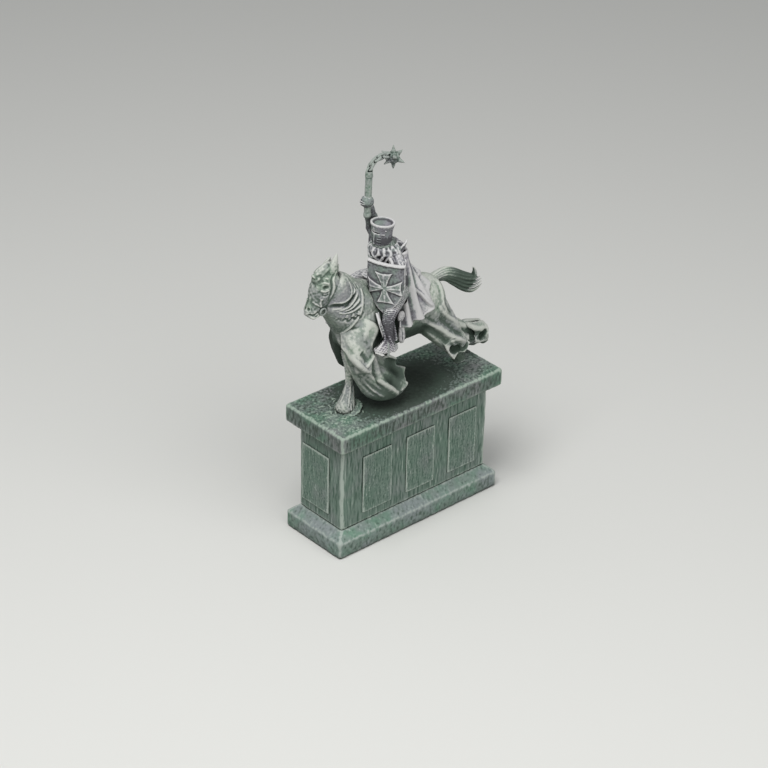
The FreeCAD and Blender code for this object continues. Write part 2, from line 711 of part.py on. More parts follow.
def joint_pins():
    """Wires in the tail root, the right shoulder and the shield."""
    s, z = SHOULDER_HALF_WIDTH, SHOULDER_HEIGHT
    tail = rod(V(-11.8, 0, 29.8), V(-17.6, 0, 30.4), JOINT_PIN_RADIUS)
    shoulder = rod(V(4.2, -0.5 * s, z - 3.0), V(4.2, -1.1 * s, z + 0.1), JOINT_PIN_RADIUS)
    normal = V(math.cos(math.radians(SHIELD_TURN)), math.sin(math.radians(SHIELD_TURN)), 0)
    strap = V(SHIELD_X, SHIELD_Y, z - 5.0) - normal * SHIELD_THICKNESS
    shield_wire = rod(strap - normal * 1.9, strap + normal * 0.4, JOINT_PIN_RADIUS)
    return [tail, shoulder, shield_wire]


# ---------------------------------------------------------------- assembly
def figure():
    """Every piece of horse and rider, trimmed to its neighbours, with z from the plinth's top."""
    pins = joint_pins()
    stem = hoof_pin()
    trunk = barrel()
    pieces = {"hoof_pin": stem, "joint_pins": Part.makeCompound(pins)}

    ground = block(PLINTH_LENGTH, PLINTH_WIDTH, CAP_HEIGHT, -CAP_HEIGHT)
    plate = shield()
    planted = trimmed(foreleg_planted(), trunk, ground)
    raised = trimmed(foreleg_raised(), trunk, planted)
    neck = trimmed(horse_head(), trunk, plate)
    haunch_left = trimmed(hind_drape_left(), trunk)
    haunch_right = trimmed(hind_drape_right(), trunk, haunch_left)
    seat = trimmed(saddle(), trunk, neck, plate)
    torso = trimmed(rider_torso(), trunk, seat)
    head = helm()
    collar = trimmed(mail_collar(), torso, head)
    leg = trimmed(rider_leg_left(), trunk, seat, torso)
    leg_right = trimmed(mirrored(leg), trunk, seat, torso)
    leg_left = trimmed(leg, plate)
    haft = flail_haft()
    fist = trimmed(gauntlet_right(), haft)
    arm_right = trimmed(rider_arm_right(), torso, collar, head, haft, fist)
    arm_left = trimmed(rider_arm_left(), torso, collar, plate, leg_left, seat)
    drape_left = trimmed(front_drape_left(), trunk, neck, raised, planted, leg_left)
    drape_right = trimmed(front_drape_right(), trunk, neck, planted, drape_left, leg_right)
    mantle = trimmed(cloak(), trunk, seat, torso, collar, head, arm_left, arm_right, leg_left, leg_right, plate)
    sword = trimmed(sword_scabbard(), trunk, leg_left, mantle, torso)
    loop = trimmed(stirrup_left(), leg_left)
    strap = trimmed(stirrup_leather_left(), leg_left, loop, plate, trunk)
    tail = trimmed(horse_tail(), trunk)

    pieces["ground_patch"] = trimmed(ground_patch(), planted, stem, ground)
    pieces["horse_half_left"] = trimmed(half(trunk, 1), plate)
    pieces["horse_half_right"] = trimmed(half(trunk, -1), plate)
    pieces["horse_head"] = neck
    pieces["bit_rings"] = Part.makeCompound([trimmed(r, neck) for r in bit_rings()])
    pieces["horse_tail"] = tail
    pieces["foreleg_planted"] = planted.cut(stem)
    pieces["foreleg_raised"] = raised
    pieces["front_drape_left"] = drape_left
    pieces["front_drape_right"] = drape_right
    pieces["hind_drape_left"] = haunch_left
    pieces["hind_drape_right"] = haunch_right
    pieces["hind_hoof_left"] = trimmed(hind_hoof_left(), haunch_left)
    pieces["hind_hoof_right"] = trimmed(hind_hoof_right(), haunch_right)
    pieces["saddle"] = seat
    pieces["rider_torso"] = torso
    pieces["mail_collar"] = collar
    pieces["helm"] = head
    pieces["rider_arm_right"] = arm_right
    pieces["gauntlet_right"] = fist
    pieces["rider_arm_left"] = arm_left
    pieces["rider_leg_left"] = leg_left
    pieces["rider_leg_right"] = leg_right
    pieces["stirrups"] = Part.makeCompound([loop, mirrored(loop)])
    pieces["stirrup_leathers"] = Part.makeCompound([strap, mirrored(strap)])
    pieces["cloak"] = mantle
    pieces["shield"] = plate
    pieces["sword_scabbard"] = sword
    pieces["flail_haft"] = haft
    pieces["flail_chain"] = Part.makeCompound(flail_chain())
    pieces["flail_ball"] = flail_ball()

    for name, wire in (
        ("horse_half_left", pins[0]), ("horse_half_right", pins[0]), ("horse_tail", pins[0]),
        ("rider_torso", pins[1]), ("rider_arm_right", pins[1]),
        ("rider_arm_left", pins[2]), ("shield", pins[2]),
    ):
        pieces[name] = biggest(pieces[name].cut(wire))
    return {name: shape.translated(UP * PLINTH_HEIGHT) for name, shape in pieces.items()}


def plinth(pin):
    panels_left, panel_front = side_panels(), end_panel()
    return {
        "plinth_base": plinth_base(),
        "plinth_core": plinth_core(),
        "plinth_cap": plinth_cap(pin),
        "side_panels_left": panels_left,
        "side_panels_right": mirrored(panels_left),
        "end_panel_front": panel_front,
        "end_panel_rear": panel_front.mirror(V(0, 0, 0), FORWARD),
    }


def main():
    os.makedirs("parts", exist_ok=True)
    pieces = figure()
    pieces.update(plinth(pieces["hoof_pin"]))
    for name, shape in sorted(pieces.items()):
        shape.exportStep(f"parts/{name}.step")
        state = "valid" if shape.isValid() else "INVALID"
        print(f"{name:20s} {len(shape.Solids)} solid(s) {shape.Volume:9.2f} mm3 {state}")


main()
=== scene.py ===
import itertools
import math

import bmesh
import bpy
import numpy as np
from mathutils import Matrix, Vector


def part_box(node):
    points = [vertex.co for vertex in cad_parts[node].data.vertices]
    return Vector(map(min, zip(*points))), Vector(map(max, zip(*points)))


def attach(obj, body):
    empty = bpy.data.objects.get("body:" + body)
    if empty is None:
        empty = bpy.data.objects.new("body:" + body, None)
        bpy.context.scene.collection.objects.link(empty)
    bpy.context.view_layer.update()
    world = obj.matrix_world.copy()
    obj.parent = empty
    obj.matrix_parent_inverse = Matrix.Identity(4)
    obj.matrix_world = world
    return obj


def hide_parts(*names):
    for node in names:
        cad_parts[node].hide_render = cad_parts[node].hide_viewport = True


# A cast and painted miniature: a mounted knight on a statue plinth. Lengths are in millimetres from the
# ground under the figure, which is the plinth's top, with +X the way the horse faces, +Y the rider's left
# and +Z up. MM turns them to metres when a mesh is written.
MM = 0.001
SIDE, TOP, FRONT = 1, 2, 0  # the axis a worked line is seen along
MOTTLE_VALUES = 4096  # random values that a mottled surface draws on
MOTTLE_SHUFFLE = np.array([73856093, 19349663, 83492791])  # large primes that mix a cell's three places

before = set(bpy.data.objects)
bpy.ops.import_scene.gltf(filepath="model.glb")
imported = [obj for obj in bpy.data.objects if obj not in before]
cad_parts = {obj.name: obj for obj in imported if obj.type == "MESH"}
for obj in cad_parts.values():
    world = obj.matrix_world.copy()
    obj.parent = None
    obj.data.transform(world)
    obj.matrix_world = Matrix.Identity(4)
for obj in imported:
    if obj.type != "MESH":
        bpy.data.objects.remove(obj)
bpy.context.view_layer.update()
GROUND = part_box("plinth_cap")[1].z


# ---------------------------------------------------------------- meshes

def copied(name, *nodes):
    """A new piece made of copies of CAD nodes, with their loose triangles merged."""
    shell = bmesh.new()
    for node in nodes:
        shell.from_mesh(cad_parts[node].data)
    bmesh.ops.remove_doubles(shell, verts=shell.verts, dist=0.002 * MM)
    return new_piece(name, shell)


def new_piece(name, shell):
    mesh = bpy.data.meshes.new(name)
    shell.to_mesh(mesh)
    shell.free()
    piece = bpy.data.objects.new(name, mesh)
    bpy.context.scene.collection.objects.link(piece)
    return piece


def settled(piece):
    """Makes the piece's modifiers, or a curve's bevel, part of its mesh."""
    graph = bpy.context.evaluated_depsgraph_get()
    mesh = bpy.data.meshes.new_from_object(piece.evaluated_get(graph))
    name = piece.name
    bpy.data.objects.remove(piece)
    made = bpy.data.objects.new(name, mesh)
    bpy.context.scene.collection.objects.link(made)
    return made


def recast(piece, grit):
    """One closed skin of small even faces, about grit millimetres wide, over everything in the piece."""
    remesh = piece.modifiers.new("recast", "REMESH")
    remesh.mode = "VOXEL"
    remesh.voxel_size = grit * MM
    return settled(piece)


def joined(name, pieces):
    """Several loose pieces as one mesh object."""
    shell = bmesh.new()
    for piece in pieces:
        shell.from_mesh(piece.data)
        bpy.data.objects.remove(piece)
    return new_piece(name, shell)


def strand(points, radii):
    """A round rod of changing thickness along a smooth line."""
    curve = bpy.data.curves.new("strand", "CURVE")
    curve.dimensions = "3D"
    curve.bevel_depth = MM
    curve.bevel_resolution = 2
    curve.use_fill_caps = True
    spline = curve.splines.new("NURBS")
    spline.points.add(len(points) - 1)
    for knot, (x, y, z), radius in zip(spline.points, points, radii):
        knot.co = (x * MM, y * MM, z * MM + GROUND, 1)
        knot.radius = radius
    spline.order_u = 3
    spline.use_endpoint_u = True
    rod = bpy.data.objects.new("strand", curve)
    bpy.context.scene.collection.objects.link(rod)
    return settled(rod)


def smooth_line(points, step):
    """Points about a step apart on a curve through the given ones."""
    knots = np.array([points[0], *points, points[-1]], float)
    line = []
    for before, start, end, after in zip(knots, knots[1:], knots[2:], knots[3:]):
        count = max(2, int(np.linalg.norm(end - start) / step))
        for t in np.arange(count) / count:
            turn = 2 * start + (end - before) * t + (2 * before - 5 * start + 4 * end - after) * t**2
            line.append(0.5 * (turn + (3 * start - before - 3 * end + after) * t**3))
    line.append(knots[-1])
    return np.array(line)


def spread(points, count):
    """count points, evenly spaced, on a curve through the given ones."""
    line = smooth_line(points, 0.1)
    return line[np.linspace(0, len(line) - 1, count).round().astype(int)]


def cloth(rows, thickness=0.9):
    """A closed sheet of cast cloth that passes through rows of points."""
    wide, tall = 6 * max(len(row) for row in rows), 6 * len(rows)
    lines = [spread(row, wide) for row in rows]
    sheet = [spread([line[i] for line in lines], tall) for i in range(wide)]
    shell = bmesh.new()
    bmesh.ops.create_grid(shell, x_segments=wide - 1, y_segments=tall - 1, size=1)
    for vert in shell.verts:
        i, j = round((vert.co.x + 1) / 2 * (wide - 1)), round((vert.co.y + 1) / 2 * (tall - 1))
        vert.co = Vector(sheet[i][j]) * MM + Vector((0, 0, GROUND))
    piece = new_piece("cloth", shell)
    solid = piece.modifiers.new("thickness", "SOLIDIFY")
    solid.thickness = thickness * MM
    solid.offset = 0
    return settled(piece)


def eased(t):
    t = np.clip(t, 0, 1)
    return t * t * (3 - 2 * t)


def mottle(points, size, seed):
    """Smooth random values from -1 to 1 that change over about the given size, one number or one per axis."""
    cell = points / np.array(size, float)
    corner = np.floor(cell).astype(np.int64)
    share = eased(cell - corner)
    values = np.random.default_rng(seed).uniform(-1, 1, MOTTLE_VALUES)
    total = np.zeros(len(points))
    for step in itertools.product((0, 1), repeat=3):
        key = (corner + step) @ MOTTLE_SHUFFLE
        weight = np.prod(np.where(np.array(step) == 1, share, 1 - share), axis=1)
        total += values[key % MOTTLE_VALUES] * weight
    return total


class Skin:
    """A piece's surface, worked point by point as a sculptor works wax."""

    def __init__(self, piece):
        self.piece = piece
        self.mesh = piece.data
        flat = np.zeros(len(self.mesh.vertices) * 3)
        self.mesh.vertices.foreach_get("co", flat)
        self.points = flat.reshape(-1, 3) / MM - (0, 0, GROUND / MM)
        pairs = np.zeros(len(self.mesh.edges) * 2, np.int32)
        self.mesh.edges.foreach_get("vertices", pairs)
        pairs = pairs.reshape(-1, 2)
        self.here = np.concatenate([pairs[:, 0], pairs[:, 1]])
        self.there = np.concatenate([pairs[:, 1], pairs[:, 0]])
        self.valence = np.bincount(self.here, minlength=len(self.points)).clip(1)
        # painted shade laid on in patches, with painted light where the depth is negative
        self.painted_shade = np.zeros(len(self.points))
        self.out = self.normals()

    def write(self):
        flat = (self.points + (0, 0, GROUND / MM)) * MM
        self.mesh.vertices.foreach_set("co", flat.astype(np.float32).ravel())
        self.mesh.update()

    def normals(self):
        self.write()
        flat = np.zeros(len(self.points) * 3, np.float32)
        self.mesh.vertex_normals.foreach_get("vector", flat)
        return flat.reshape(-1, 3).astype(float)

    def averaged(self, values, rounds):
        """Each point's values, mixed with its neighbours' round after round."""
        for _ in range(rounds):
            sums = [np.bincount(self.here, part[self.there], len(part)) for part in values.T]
            values = 0.4 * values + 0.6 * np.stack(sums, 1) / self.valence[:, None]
        return values

    def soften(self, rounds):
        self.points += self.averaged(self.points, rounds) - self.points
        self.out = self.normals()

    def raise_by(self, height):
        """Moves every point out of the surface by its own height."""
        self.points += self.out * height[:, None]

    def near_line(self, route, width, seen_along=None, depth_share=0.35):
        """Distance to a smooth line over its width, and place along it from 0 to 1, of points beside it."""
        line = smooth_line(route, width / 4)
        reach = width / (depth_share if seen_along is not None else 1)
        spare = np.full(3, float(width))
        scale = np.ones(3)
        if seen_along is not None:
            spare[seen_along] = reach
            scale[seen_along] = depth_share
        inside = np.all((self.points > line.min(0) - spare) & (self.points < line.max(0) + spare), axis=1)
        which = np.flatnonzero(inside)
        best = np.full(len(which), np.inf)
        place = np.zeros(len(which))
        for i, knot in enumerate(line):
            gap = (((self.points[which] - knot) * scale) ** 2).sum(1)
            closer = gap < best
            best[closer] = gap[closer]
            place[closer] = i / (len(line) - 1)
        t = np.sqrt(best) / width
        keep = t < 1
        return which[keep], t[keep], place[keep]

    def line(self, route, width, height, seen_along=None, crisp=0.0, ends=0.2):
        """A ridge, or with a negative height a groove. crisp goes from 0, rounded, to 1, a sharp crest."""
        which, t, place = self.near_line(route, width, seen_along)
        section = (1 - crisp) * (1 - t**2) ** 2 + crisp * (1 - t) ** 1.4
        if ends:
            section *= eased(place / ends) * eased((1 - place) / ends)
        self.points[which] += self.out[which] * (height * section)[:, None]

    def bump(self, centre, radius, height, stretch=(1, 1, 1)):
        """A round swelling, or with a negative height a hollow."""
        gap = np.linalg.norm((self.points - centre) / stretch, axis=1) / radius
        section = np.where(gap < 1, (1 - gap.clip(0, 1) ** 2) ** 2, 0)
        self.points += self.out * (height * section)[:, None]

    def wash(self, centre, radius, depth, stretch=(1, 1, 1)):
        """Painted shade in a soft round patch, or with a negative depth painted light."""
        gap = np.linalg.norm((self.points - centre) / stretch, axis=1) / radius
        self.painted_shade += depth * eased(1.6 * (1 - gap))

    def rough(self, height, size, seed):
        self.raise_by(height * mottle(self.points, size, seed))

    def finish(self, fine_reach=0.5, broad_reach=1.8, grit=0.2):
        """Writes how far each point stands out of what is round it, near and wide, for the paint; the wide
        level also carries the painted shade and painted light patches.
        """
        self.out = self.normals()
        near = self.averaged(self.points, max(2, int((fine_reach / grit) ** 2)))
        wide = self.averaged(near, max(4, int((broad_reach / grit) ** 2)))
        levels = {
            "relief": (self.points - near, 0.25 * fine_reach),
            "broad_relief_and_painted_shade": (near - wide, 0.25 * broad_reach),
        }
        for name, (gap, full) in levels.items():
            height = ((gap * self.out).sum(1) / full).clip(-1, 1)
            if name == "broad_relief_and_painted_shade":
                # the painted shade and painted light patches go into the wide level
                height -= self.painted_shade
            level = self.mesh.attributes.new(name, "FLOAT", "POINT")
            level.data.foreach_set("value", height.astype(np.float32))
        self.mesh.shade_smooth()


def on_side(route, side):
    """A line given for the rider's left, on the left (1) or the right (-1)."""
    return [(x, side * y, z) for x, y, z in route]


# ---------------------------------------------------------------- paint

def colour(hexed):
    """An sRGB colour such as #8a9088 as linear red, green, blue and alpha."""
    channels = [int(hexed[i : i + 2], 16) / 255 for i in (1, 3, 5)]
    return [c / 12.92 if c <= 0.04045 else ((c + 0.055) / 1.055) ** 2.4 for c in channels] + [1.0]


def add(tree, kind, settings=(), links=()):
    """Adds a node. settings are its own properties, and links its inputs: values, or other nodes' outputs."""
    node = tree.nodes.new(kind)
    for key, value in dict(settings).items():
        setattr(node, key, value)
    for key, value in dict(links).items():
        if isinstance(value, bpy.types.NodeSocket):
            tree.links.new(value, node.inputs[key])
        else:
            node.inputs[key].default_value = value
    return node


def layered_paint_with_painted_light(name, shade, deep, middle, green, tint, light, streak=(0.6, 0.6, 0.6), **look):
    """Matt acrylic over a dark undercoat: a thin wash lies in the hollows, and a nearly dry brush has left
    its pale paint on edges, ridges and the tops of the brushed grain. No gloss, and patchy by hand.
    Over these coats lies painted light: painted highlight on faces that look up, painted shade on faces
    that look down and where nearby parts shelter the surface, and the painted shade patches of each piece.
    Sizes are millimetres: patches where the coats were mixed, and the brushed grain or its streaks."""
    material = bpy.data.materials.new(name)
    material.use_nodes = True
    tree = material.node_tree
    tree.nodes.clear()
    place = add(tree, "ShaderNodeTexCoord").outputs["Object"]
    mix = {"data_type": "RGBA", "clamp_factor": True}

    def clouds(size, detail=2.0, rough=0.5):
        links = {"Vector": place, "Scale": 1 / (size * MM), "Detail": detail, "Roughness": rough}
        return add(tree, "ShaderNodeTexNoise", {}, links).outputs[0]

    def ranged(value, low, high, top=1.0):
        links = {0: value, 1: low, 2: high, 3: 0.0, 4: top}
        return add(tree, "ShaderNodeMapRange", {"interpolation_type": "SMOOTHSTEP"}, links).outputs[0]

    def summed(*terms):
        """The sum of (value, share) terms."""
        total = 0.0
        for value, share in terms:
            links = {0: value, 1: share, 2: total}
            total = add(tree, "ShaderNodeMath", {"operation": "MULTIPLY_ADD"}, links).outputs[0]
        return total

    def painted(under, over, share):
        links = {0: share, 6: under, 7: over}
        return add(tree, "ShaderNodeMix", mix, links).outputs[2]

    stretch = {"Vector": place, "Scale": [1 / (size * MM) for size in streak]}
    brushed = add(tree, "ShaderNodeMapping", {}, stretch).outputs[0]
    grain_links = {"Vector": brushed, "Scale": 1.0, "Detail": 3.0, "Roughness": 0.62}
    grain = add(tree, "ShaderNodeTexNoise", {}, grain_links).outputs[0]
    relief = add(tree, "ShaderNodeAttribute", {"attribute_name": "relief"}).outputs["Fac"]
    broad_relief_and_painted_shade = add(tree, "ShaderNodeAttribute", {"attribute_name": "broad_relief_and_painted_shade"}).outputs["Fac"]
    normal = add(tree, "ShaderNodeNewGeometry").outputs["Normal"]
    upward = add(tree, "ShaderNodeSeparateXYZ", {}, {0: normal}).outputs["Z"]
    # ambient occlusion, for painted shade where nearby parts shelter the surface
    shelter_links = {"Distance": look.get("shelter", 5.0) * MM}
    open_sky_for_painted_shade = add(tree, "ShaderNodeAmbientOcclusion", {"samples": 12}, shelter_links).outputs["AO"]
    patches = clouds(look.get("patch", 5.0))

    coat = painted(colour(middle), colour(green), ranged(patches, 0.38, 0.64))
    coat = painted(coat, colour(tint), ranged(clouds(9.0), 0.42, 0.7, look.get("tinted", 0.7)))
    # faces that look up count as higher, a painted highlight; the broad level also carries the painted shade
    # patches
    terms = [(relief, 1.2), (broad_relief_and_painted_shade, 0.85), (upward, look.get("skyward", 0.16)), (patches, 0.4)]
    height = summed(*terms, (grain, look.get("stipple", 1.0)))
    level = look.get("level", 0.0) + 0.2 + 0.5 * look.get("stipple", 1.0)
    # shade coat: real wash in the hollows, with painted shade from the patches; light coat: real dry brush,
    # with painted highlight on faces that look up
    coat = painted(coat, colour(shade), ranged(height, level + 0.12, level - 0.42, look.get("wash", 0.9)))
    coat = painted(coat, colour(light), ranged(height, level + 0.14, level + 0.75, look.get("dry", 0.9)))
    # painted shade on faces that look down
    coat = painted(coat, colour(shade), ranged(upward, 0.0, -0.75, look.get("underneath", 0.75)))
    # deep wash pooled in the deepest hollows, with the darkest painted shade patches
    coat = painted(coat, colour(deep), ranged(broad_relief_and_painted_shade, -0.7, -1.9, look.get("pooled", 0.97)))
    # painted shade where nearby parts shelter the surface
    coat = painted(coat, colour(deep), ranged(open_sky_for_painted_shade, 0.85, 0.25, look.get("pooled", 0.97)))

    bump_height = summed((grain, 1.0), (clouds(0.25), 0.4))
    bump_links = {"Strength": 0.55, "Distance": look.get("tooth", 0.1) * MM, "Height": bump_height}
    bump = add(tree, "ShaderNodeBump", {}, bump_links).outputs[0]
    matt = ranged(grain, 0.3, 0.7, 0.16)
    roughness = add(tree, "ShaderNodeMath", {"operation": "SUBTRACT"}, {0: 0.88, 1: matt}).outputs[0]
    shader_links = {"Base Color": coat, "Roughness": roughness, "Normal": bump, "IOR": 1.46}
    shader = add(tree, "ShaderNodeBsdfPrincipled", {}, shader_links)
    add(tree, "ShaderNodeOutputMaterial", {}, {0: shader.outputs[0]})
    return material


def drawn_brass(name):
    """Brass wire: warm metal with fine drawing lines along it and a little tarnish."""
    material = bpy.data.materials.new(name)
    material.use_nodes = True
    tree = material.node_tree
    tree.nodes.clear()
    place = add(tree, "ShaderNodeTexCoord").outputs["Object"]
    fineness = [12000, 12000, 900]  # drawing lines to the metre across the wire, and breaks in them along it
    drawn = add(tree, "ShaderNodeMapping", {}, {"Vector": place, "Scale": fineness}).outputs[0]
    lines = add(tree, "ShaderNodeTexNoise", {}, {"Vector": drawn, "Scale": 1.0}).outputs[0]
    links = {0: lines, 6: colour("#c9a45c"), 7: colour("#8f6f38")}
    tone = add(tree, "ShaderNodeMix", {"data_type": "RGBA"}, links).outputs[2]
    rough = add(tree, "ShaderNodeMapRange", {}, {0: lines, 1: 0.0, 2: 1.0, 3: 0.28, 4: 0.5}).outputs[0]
    shader_links = {"Base Color": tone, "Roughness": rough, "Metallic": 1.0}
    shader = add(tree, "ShaderNodeBsdfPrincipled", {}, shader_links)
    add(tree, "ShaderNodeOutputMaterial", {}, {0: shader.outputs[0]})
    return material


def coats(*hexed):
    """One family of paint: wash with painted shade, pools with the darkest painted shade, grey and green
    middle coats, lilac tint, and dry-brushed highlight with painted highlight.
    """
    return dict(zip(("shade", "deep", "middle", "green", "tint", "light"), hexed))


def paints():
    # The green of these coats is partly the paint's own colour and partly painted green light reflected from
    # a green surround, most of all on the plinth.
    horse = coats("#455449", "#1b2b20", "#868c86", "#798879", "#8f8d94", "#bfc1b9")
    rider = coats("#434246", "#1d1c20", "#7d7e82", "#748079", "#8d8892", "#c3c2c1")
    iron = coats("#34423a", "#1b2722", "#67726b", "#5d7264", "#75717a", "#959b95")
    stone = coats("#3f5749", "#1c3226", "#697b70", "#5e7467", "#7d7f80", "#a0aba1")
    slab = coats("#364239", "#1b261d", "#64706a", "#577262", "#7b7b7c", "#99a89a")
    ledge = coats("#47584d", "#202e25", "#74837b", "#648271", "#82888a", "#a0a9a2")
    stone.update(streak=(0.5, 0.5, 3.2), level=0.0, tooth=0.16, tinted=0.5, dry=0.9, stipple=1.4)
    slab.update(streak=(1.3, 1.3, 1.3), level=0.14, tooth=0.16, tinted=0.75, dry=0.8, stipple=0.8)
    ledge.update(streak=(0.9, 0.9, 1.5), level=0.02, tooth=0.16, tinted=0.8, dry=0.8)
    return {
        # Acrylic on cast polyurethane resin, stippled with vertical brush marks that read as old bronze.
        "stone_paint_on_resin": layered_paint_with_painted_light("acrylic_brushed_on_resin", **stone),
        # The same paint on the two slabs, where more pale lilac-grey was dragged over a brown-green wash.
        "slab": layered_paint_with_painted_light("acrylic_dragged_on_resin", **slab),
        # The same again on the foot of the plinth, where the lilac-grey coat is thickest.
        "ledge": layered_paint_with_painted_light("acrylic_layered_on_resin", **ledge),
        # Verdigris-grey acrylic, layered and dry-brushed over a dark green undercoat on cast resin.
        "verdigris_paint_on_resin": layered_paint_with_painted_light(
            "acrylic_drybrushed_on_resin", level=-0.05, dry=0.72, **horse
        ),
        # The rider is white metal under the same coats, left a little more lilac and more contrasted.
        "verdigris_paint_on_white_metal": layered_paint_with_painted_light(
            "acrylic_drybrushed_on_white_metal", level=-0.02, **rider
        ),
        # Iron fittings: little pale paint over the dark undercoat.
        "dark_iron_paint_on_white_metal": layered_paint_with_painted_light(
            "acrylic_iron_on_white_metal", level=0.12, dry=0.7, **iron
        ),
        "brass_wire": drawn_brass("drawn_brass_wire"),
    }


PAINT = paints()


def placed(piece, slot, *nodes, paint=None):
    """Paints a finished piece and ties it to the frame, in place of the CAD nodes that it stands for."""
    piece.data.materials.clear()
    piece.data.materials.append(PAINT[paint or slot])
    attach(piece, "root")
    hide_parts(*nodes)
    return piece


# ---------------------------------------------------------------- horse

def ring_line(centre, radius, count, normal_axis, squash=1.0):
    """A closed round line facing one axis."""
    first, second = [axis for axis in (0, 1, 2) if axis != normal_axis]
    line = []
    for i in range(count + 1):
        angle = 2 * math.pi * i / count
        point = list(centre)
        point[first] += radius * math.cos(angle)
        point[second] += radius * squash * math.sin(angle)
        line.append(tuple(point))
    return line


# Folds of the horse's cloth on the rider's left: width, height, and the line from top to hem.
LEFT_FOLDS = [
    # over the chest and the lifted foreleg
    (1.0, 0.75, [(23.2, 3, 24.6), (23.6, 6.5, 22), (22.3, 9, 19.4), (20.8, 9.6, 17.4), (18.9, 9.7, 15)]),
    (1.0, 0.6, [(18.9, 9.7, 15), (14, 9.9, 10.8), (8.5, 9.9, 6), (7.2, 9.8, 4.8)]),
    (1.0, 0.7, [(16.3, 9, 20.7), (18.3, 9.4, 19.3), (20.4, 9.6, 18)]),
    (1.2, -0.6, [(21.5, 8.5, 23), (20.2, 9, 20.8), (19.8, 9.2, 19.4)]),
    (0.9, -0.4, [(22.6, 6, 19.6), (21.4, 8.6, 16), (18, 9.2, 11.5), (13, 9.2, 6.6)]),
    (0.8, 0.35, [(21.6, 6, 17), (19.6, 8, 12.6), (15.4, 8.4, 7.6), (11, 8.6, 4.4)]),
    (0.8, -0.4, [(20.4, 6, 14.5), (18, 7.6, 10), (13.6, 8, 5.4)]),
    # over the haunch, down and back to the hem
    (1.3, 0.95, [
        (-2.3, 7.6, 24), (-6.4, 8.2, 21), (-9.7, 8.6, 18.4), (-12.1, 8.8, 16), (-16.2, 9, 13.4),
        (-19.4, 9, 11),
    ]),
    (1.8, -1.1, [(-8.5, 7.4, 23), (-11.6, 8, 19.6), (-15, 8, 16.4), (-19.4, 8, 13.4)]),
    (1.1, -0.55, [(-3, 8, 21.6), (-6.8, 8.4, 18.4), (-9.8, 8.8, 15.4), (-12, 9, 12.8)]),
    (1.0, 0.55, [(-3.4, 7.6, 20), (-7, 8.2, 16.6), (-9.2, 8.8, 13.6), (-11.4, 9, 10.6)]),
    (0.9, 0.5, [(-9, 6.6, 27), (-10.4, 7.2, 23.6), (-13.8, 7.4, 20.4), (-17.6, 6.6, 17.4)]),
    (1.2, 0.6, [(-11.9, 2.5, 32), (-11.8, 5, 29.6), (-10.8, 7.1, 25.7), (-12.4, 7.4, 22.4)]),
    (1.6, -0.7, [(-13.6, 3.5, 31), (-13.8, 5.2, 28), (-13.4, 6.6, 24.4), (-15.4, 6.6, 21)]),
    (0.9, 0.4, [(-12, 8.9, 15.2), (-13.6, 9.2, 12.9), (-13.4, 9.4, 10.2)]),
]
# The far side of the same cloth, where the hind leg is stretched further back.
RIGHT_FOLDS = [
    (1.3, 0.75, [(22.5, -2, 23), (21.6, -6, 20), (20.2, -7.4, 15), (18.5, -7.2, 10)]),
    (1.3, -0.6, [(20.6, -6, 22), (19.4, -7.6, 17), (17.2, -7.6, 11)]),
    (1.2, 0.7, [(19, -8.2, 22), (17.4, -8.6, 17), (14, -8.3, 11), (9, -8.6, 8)]),
    (1.3, 0.6, [(12, -8.9, 26), (13.4, -9, 21), (12.5, -8.6, 15), (8, -8.8, 11)]),
    (1.1, -0.6, [(15.4, -8.6, 24), (15.6, -8.8, 18.5), (12.6, -8.6, 12.6)]),
    (1.4, 0.9, [(-5, -7.2, 27), (-10, -7.8, 22.4), (-16, -7.2, 17.4), (-23, -5.2, 12.4), (-30, -3, 8)]),
    (1.3, 0.75, [(-9, -6.6, 28.5), (-14, -6.4, 22.6), (-20, -5, 16.6), (-27, -2.6, 11.8), (-31, -1.6, 9.4)]),
    (1.5, -1.0, [(-8, -7.4, 25.6), (-13, -7.2, 20.6), (-19, -6.2, 15.4), (-26, -4, 10.6)]),
    (1.2, -0.8, [(-12, -5, 27), (-17, -5.4, 21), (-23, -3.6, 15.6), (-29, -1.6, 11.6)]),
    (1.2, 0.6, [(-3, -7.6, 22.6), (-8, -8, 18.4), (-14, -7.4, 13.4), (-20, -6, 9.6)]),
    (1.2, -0.7, [(-2, -7.6, 25), (-7, -7.9, 20.6), (-12, -8, 16), (-18, -7, 12)]),
    # the near face of the trailing leg
    (1.1, 0.7, [(-14.5, 0, 21.6), (-17.5, 0.6, 17.6), (-22.5, 1.4, 13), (-28, 1.6, 10), (-32, 1.6, 8.4)]),
    (1.2, -0.9, [(-15.6, 1.5, 17.6), (-20, 1.6, 13), (-25, 1.9, 9.6), (-30, 2, 7.4)]),
    (1.0, 0.55, [(-17.4, 1.2, 13), (-21.6, 1.8, 9.6), (-26.6, 2.2, 6.6), (-31, 2.4, 4.6)]),
]
# Hollows where the hems fold in on themselves: width, depth and line.
HEM_HOLLOWS = [
    (1.5, -1.3, [(-12.4, 9, 12.4), (-14.2, 9.4, 10.8), (-16.6, 9.2, 11.8)]),
    (1.0, -0.8, [(-15, 9.4, 9.4), (-17.4, 9.4, 10.4), (-19.4, 8.6, 11.6)]),
    (1.3, -1.0, [(-32.6, 2.4, 8.4), (-31, 2.8, 6.6), (-31.2, 2.8, 5)]),
    (1.2, -0.9, [(-28.6, 2.6, 8.2), (-27.4, 3, 6.2), (-28.2, 3, 4.8)]),
    (1.3, -1.0, [(-31.8, -3, 8.6), (-30, -3, 7), (-30.6, -3, 5)]),
]
